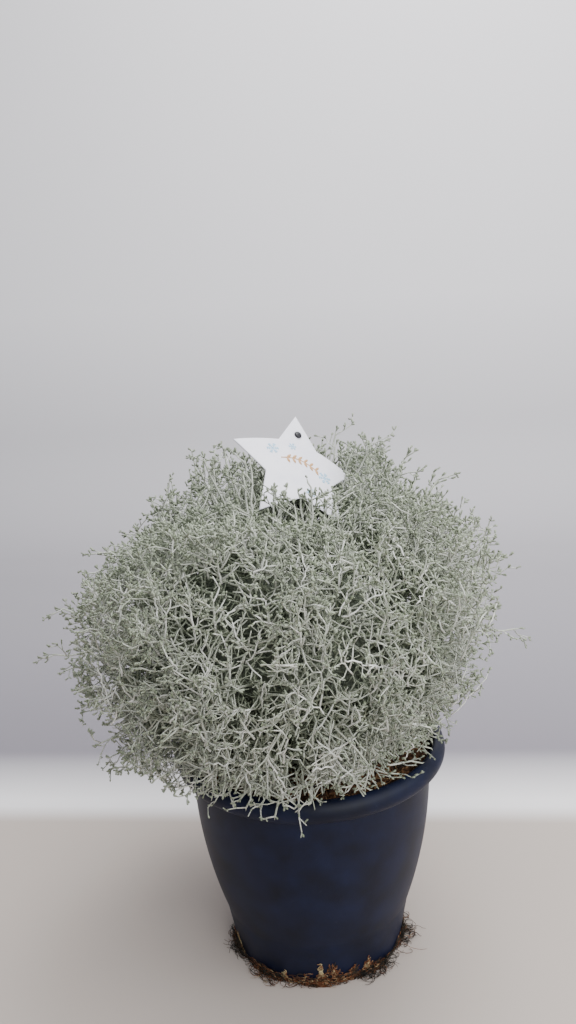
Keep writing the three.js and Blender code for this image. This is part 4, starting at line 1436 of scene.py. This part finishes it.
    def by_knots(self, rng: np.random.Generator, knots: list[Array], thick: float) -> Limbs:
        """Branches along smooth curves through knots, each with a slight random crook."""
        paths = np.array([spline(np.array(k), 7 // (len(k) - 1) + 1) for k in knots])
        spots = np.linspace(0, paths.shape[1] - 1, LONG).round().astype(int)
        paths = paths[:, spots] + rng.normal(size=(len(knots), LONG, 3)) * 0.8
        each = np.zeros((len(paths), 1))
        radii = thick * np.linspace(1.2, 0.75, LONG) + each
        ages = np.linspace(1.0, 0.6, LONG) + each
        return Limbs(paths, radii, ages, self.nearest(paths[:, 0]), 4)

    def reaching(self, rng: np.random.Generator) -> Limbs:
        """The long shoots, from inside the cushion to the furthest tips."""
        middle = self.cushion.centre
        knots = []
        for turn, tilt, reach in self.long_shoots:
            way = towards(turn, tilt)
            bow = middle + way * reach * 0.8 - (0, 0, 5)
            knots.append([middle + way * reach * 0.58, bow, middle + way * reach])
        return self.by_knots(rng, knots, 0.8)

    def by_the_label(self, rng: np.random.Generator) -> Limbs:
        """The sprigs in front of the label, from the bush's front up to their tips."""
        knots = []
        for tip in np.array(self.sprigs, float):
            foot = tip + rng.uniform(-6, 6, 3) - self.sprig_foot
            bow = tip + rng.uniform(-3, 3, 3) - self.sprig_bow
            knots.append([foot, bow, tip])
        return self.by_knots(rng, knots, 0.75)

    def white_fan(self, rng: np.random.Generator) -> Limbs:
        """Old white stems that come through the skin at one place in front and spread from it."""
        middle = self.cushion.centre + self.fan_place
        turn = np.arange(self.fan) * 360 / self.fan + rng.uniform(-20, 20, self.fan)
        reach = rng.uniform(*self.fan_reach, self.fan)
        across, up = reach * np.cos(np.radians(turn)), reach * np.sin(np.radians(turn))
        knots = []
        for x, z in zip(across, up):
            bow = middle + (0.5 * x, -9, 0.5 * z + 5) + rng.uniform(-6, 6, 3)
            foot = middle + rng.uniform(-7, 7, 3) + (0, 14, 0)
            knots.append([foot, bow, middle + (x, 14 * abs(x) / self.fan_reach[1], z - 4)])
        return self.by_knots(rng, knots, 0.8)

    def over_rim(self, rng: np.random.Generator) -> Limbs:
        """The twigs that hang over the rim, and the stems that hoop over the soil to lie on it."""
        pot = self.cushion.pot
        knots = []
        for turn, out, low in self.trailing:
            inside = towards(turn + 6, 0) * self.trail_start[0] + (0, 0, self.trail_start[1])
            crest = towards(turn + 2, 0) * (pot.mouth_radius - 2) + (0, 0, pot.height + 24)
            rim = towards(turn, 0) * (pot.rim_radius + 3) + (0, 0, pot.height + 6)
            knots.append([inside, crest, rim, towards(turn - 1, 0) * out + (0, 0, low)])
        for first, last, crest_z, radius in self.hoops:
            root = towards(first, 0) * self.hoop_start[0] + (0, 0, self.hoop_start[1])
            crest = towards(0.6 * first + 0.4 * last, 0) * self.hoop_crest + (0, 0, crest_z)
            end = towards(last, 0) * radius + (0, 0, pot.height + 2)
            drop = 0.5 * (crest_z + pot.height + 4)
            low = towards(0.2 * first + 0.8 * last, 0) * (radius - 5) + (0, 0, drop)
            knots.append([root, crest, low, end])
        return self.by_knots(rng, knots, 0.85)

    def crust(self, number: int, ways: Array) -> Array:
        """Places on the skin of a spray's core, in the directions asked for.

        It is a lumpy ball round the line from the cushion's middle to the spray's head, kept well
        inside the cushion's skin and above the soil.
        """
        centre = self.cushion.centre
        middle = centre + self.core_middle * (self.stems[number, 2] - centre)
        lumps = waves(ways * self.core_radius + middle, 34, 5 + number, 3)
        size = self.core_radius + self.core_lumps * lumps
        points = middle + ways * size[..., None]
        share = self.cushion.share(points)[..., None]
        points = centre + (points - centre) * np.minimum(1, self.core_share / share)
        points[..., 2] = np.maximum(points[..., 2], self.core_floor + 4 * ways[..., 2])
        return points

    def core(self, number: int) -> list[Surface]:
        """Painted shade in the middle of a spray: a dark lumpy core, and short dark twigs all over it."""
        rows, columns = 13, 18
        tilt = np.linspace(-90, 90, rows)[:, None]
        turn = np.arange(columns) * 360 / columns + 0 * tilt
        ball = self.crust(number, towards(turn, tilt + 0 * turn))
        body = Surface.wrapped(ball, self.core_shade)
        rng = np.random.default_rng(60 + number)
        ways = unit(rng.normal(size=(self.spines, 3)))
        starts = self.crust(number, ways) - 3 * ways
        heading = unit(unit(starts - self.cushion.centre) + 0.6 * rng.normal(size=ways.shape))
        ends = starts + heading * rng.uniform(*self.spine_lengths, (self.spines, 1))
        free = self.cushion.free(ends, np.full(self.spines, self.spine_reach))
        paths = np.stack([starts, ends], 1)[free]
        # The short twigs get low ages, which paint them in shade too.
        ages = rng.uniform(0.0, 0.16, (len(paths), 1)) + np.array([0.0, 0.1])
        return [body, tubes(paths, np.full((len(paths), 2), self.spine_radius), 3, ages)]

    def stem(self, number: int) -> Surface:
        """A spray's stem, from its root in the soil by its elbow to its head."""
        root, elbow, head = self.stems[number]
        lower = root + np.linspace(0, 1, 7)[:-1, None] * (elbow - root)
        upper = elbow + np.linspace(0, 1, 9)[:, None] * (head - elbow)
        line = np.concatenate([lower, upper])[None]
        return tubes(line, np.linspace(*self.stem_radii, 15)[None], 7, np.full((1, 15), 0.9))

    def uprising(self, rng: np.random.Generator) -> Limbs:
        """Shoots that start under the skin and stand up through it, mostly on the upper half."""
        ways = unit(rng.normal(size=(self.uprights, 3)) * (1, 1, 0.7) + (0, 0, 0.55))
        depth = rng.uniform(*self.upright_depth, self.uprights)
        starts = self.cushion.centre + ways * (self.cushion.skin(ways) * depth)[:, None]
        heading = unit(0.4 * ways + (0, 0, 1) + 0.15 * rng.normal(size=ways.shape))
        return self.limbs(rng, SHOOT, starts, heading, self.nearest(starts))

    def grow(self, rng: np.random.Generator) -> list[Limbs]:
        """Every order of limb, from the boughs to the buds."""
        boughs = self.main_boughs(rng)
        branches = self.side_shoots(rng, BRANCH, boughs)
        grown = [boughs, *self.leafage(rng, branches), *self.leafage(rng, self.along_skin(rng))]
        grown += self.leafage(rng, self.uprising(rng), 0.1)
        grown += self.leafage(rng, self.reaching(rng), 0.4)
        grown += self.leafage(rng, self.by_the_label(rng), 0.4)
        grown += self.leafage(rng, self.white_fan(rng), 0.1)
        self.cushion.front_hem = 0.0  # only the twigs that follow hang over the rim in front
        return grown + self.leafage(rng, self.over_rim(rng), 0.3)

    def paint_deep_shade(self, limbs: Limbs) -> None:
        """Paints shade inside the bush: lowers the age of what lies deep, so that the finish shows it darker,
        down to the deepest shade colour.
        """
        out = smooth(self.cushion.share(limbs.paths), self.deep, self.light)
        limbs.age = limbs.age * (0.25 + 0.75 * out) - 0.2 * (1 - out)

    def build(self) -> None:
        """Grows every order of limb and makes one piece for each spray."""
        grown = self.grow(np.random.default_rng(self.seed))
        for limbs in grown:
            self.paint_deep_shade(limbs)
        for number, name in enumerate(self.names):
            parts = [*self.core(number), self.stem(number)]
            parts += [limbs.surface(number) for limbs in grown]
            place(name + "_twigs", Surface.of(parts), TWIG_FELT, [name])


# Stage


@dataclass(frozen=True)
class Softbox:
    """A square soft lamp: its place and target in metres, its side and its power in watts."""

    name: str
    spot: Triple
    side: float
    watts: float
    target: Triple = (0.0, 0.0, 0.25)

    def build(self) -> None:
        """Hangs the lamp at its spot, turned to its target."""
        data = bpy.data.lights.new(self.name, "AREA")
        data.size = self.side
        data.energy = self.watts
        lamp = bpy.data.objects.new(self.name, data)
        away = Vector(self.spot) - Vector(self.target)
        lamp.rotation_euler = away.to_track_quat("Z", "Y").to_euler()
        lamp.location = self.spot
        bpy.context.scene.collection.objects.link(lamp)


@dataclass
class Stage:
    """A pale sweep of floor and wall, soft lamps, and the camera at the photograph's place."""

    eye: Triple = (-8.46, -661.8, 527.2)
    down: float = 12.23
    roll: float = 3.0
    focal_pixels: float = 830.0
    long_side: float = 1024.0
    sensor: float = 36.0
    floor_end: float = 1100.0
    bend: float = 300.0
    half_width: float = 2500.0
    wall_top: float = 2600.0
    room: str = "e6e8f0"
    room_strength: float = 0.54
    lamps: tuple[Softbox, ...] = (
        Softbox("front_softbox", (0.8, -1.6, 1.15), 1.2, 24),
        Softbox("top_softbox", (0.2, -0.4, 2.0), 1.3, 31),
        Softbox("side_softbox", (1.6, -0.6, 1.0), 1.0, 12),
        Softbox("backdrop_lamp", (0.5, 0.55, 2.3), 1.0, 35, (0.4, 1.3, 0.6)),
    )

    def camera(self) -> None:
        """The camera's axes: forward pitched down, and right and up rolled about it."""
        pitch, roll = math.radians(self.down), math.radians(self.roll)
        forward = np.array([0.0, math.cos(pitch), -math.sin(pitch)])
        level = np.array([1.0, 0.0, 0.0])
        upright = np.cross(level, forward)
        right = math.cos(roll) * level - math.sin(roll) * upright
        up = math.sin(roll) * level + math.cos(roll) * upright
        data = bpy.data.cameras.new("photo_camera")
        data.sensor_width = self.sensor
        data.lens = self.focal_pixels / self.long_side * data.sensor_width
        data.clip_start = 0.01
        camera = bpy.data.objects.new("photo_camera", data)
        matrix = Matrix.Identity(4)
        for column, axis in enumerate((right, up, -forward, np.array(self.eye) * METRES)):
            for row in range(3):
                matrix[row][column] = axis[row]
        camera.matrix_world = matrix
        bpy.context.scene.collection.objects.link(camera)
        bpy.context.scene.camera = camera

    def sweep(self) -> None:
        """Floor and wall in one sheet, joined by a quarter round, that comes nearer on the right."""
        bend = np.radians(np.linspace(0, 90, 16))
        wall = self.floor_end + self.bend
        y = np.concatenate([[-self.half_width], self.floor_end + self.bend * np.sin(bend), [wall]])
        z = np.concatenate([[0.0], self.bend * (1 - np.cos(bend)), [self.wall_top]])
        x = np.array([-self.half_width, self.half_width])
        y, z = y[:, None], z[:, None]
        rows = np.stack([x + 0 * y, y - STUDIO_PAPER.slant * x, z + 0 * x], -1)
        mesh = bpy.data.meshes.new("studio_sweep")
        quads = grid_faces(len(y), 2, False)[:, ::-1]
        mesh.from_pydata((rows.reshape(-1, 3) * METRES).tolist(), [], quads.tolist())
        mesh.polygons.foreach_set("use_smooth", np.ones(len(mesh.polygons), bool))
        mesh.materials.append(STUDIO_PAPER.material())
        sheet = bpy.data.objects.new("studio_sweep", mesh)
        bpy.context.scene.collection.objects.link(sheet)

    def room_light(self) -> None:
        """The even light of the room."""
        world = bpy.data.worlds.new("even room light")
        world.use_nodes = True
        sky = world.node_tree.nodes["Background"]
        sky.inputs[0].default_value = colour(self.room)
        sky.inputs[1].default_value = self.room_strength
        bpy.context.scene.world = world

    def build(self) -> None:
        """Makes the camera, the sweep, the lamps and the even light of the room."""
        self.camera()
        self.sweep()
        for lamp in self.lamps:
            lamp.build()
        self.room_light()


def main() -> None:
    logging.basicConfig(level=logging.INFO, format="%(message)s")
    Stage().build()
    pot = Pot()
    soil = Soil(pot)
    label = Label()
    pot.build()
    soil.build()
    label.build()
    Roots(pot).build()
    Bush(Cushion(pot, soil, label)).build()


if __name__ == "__main__":
    main()
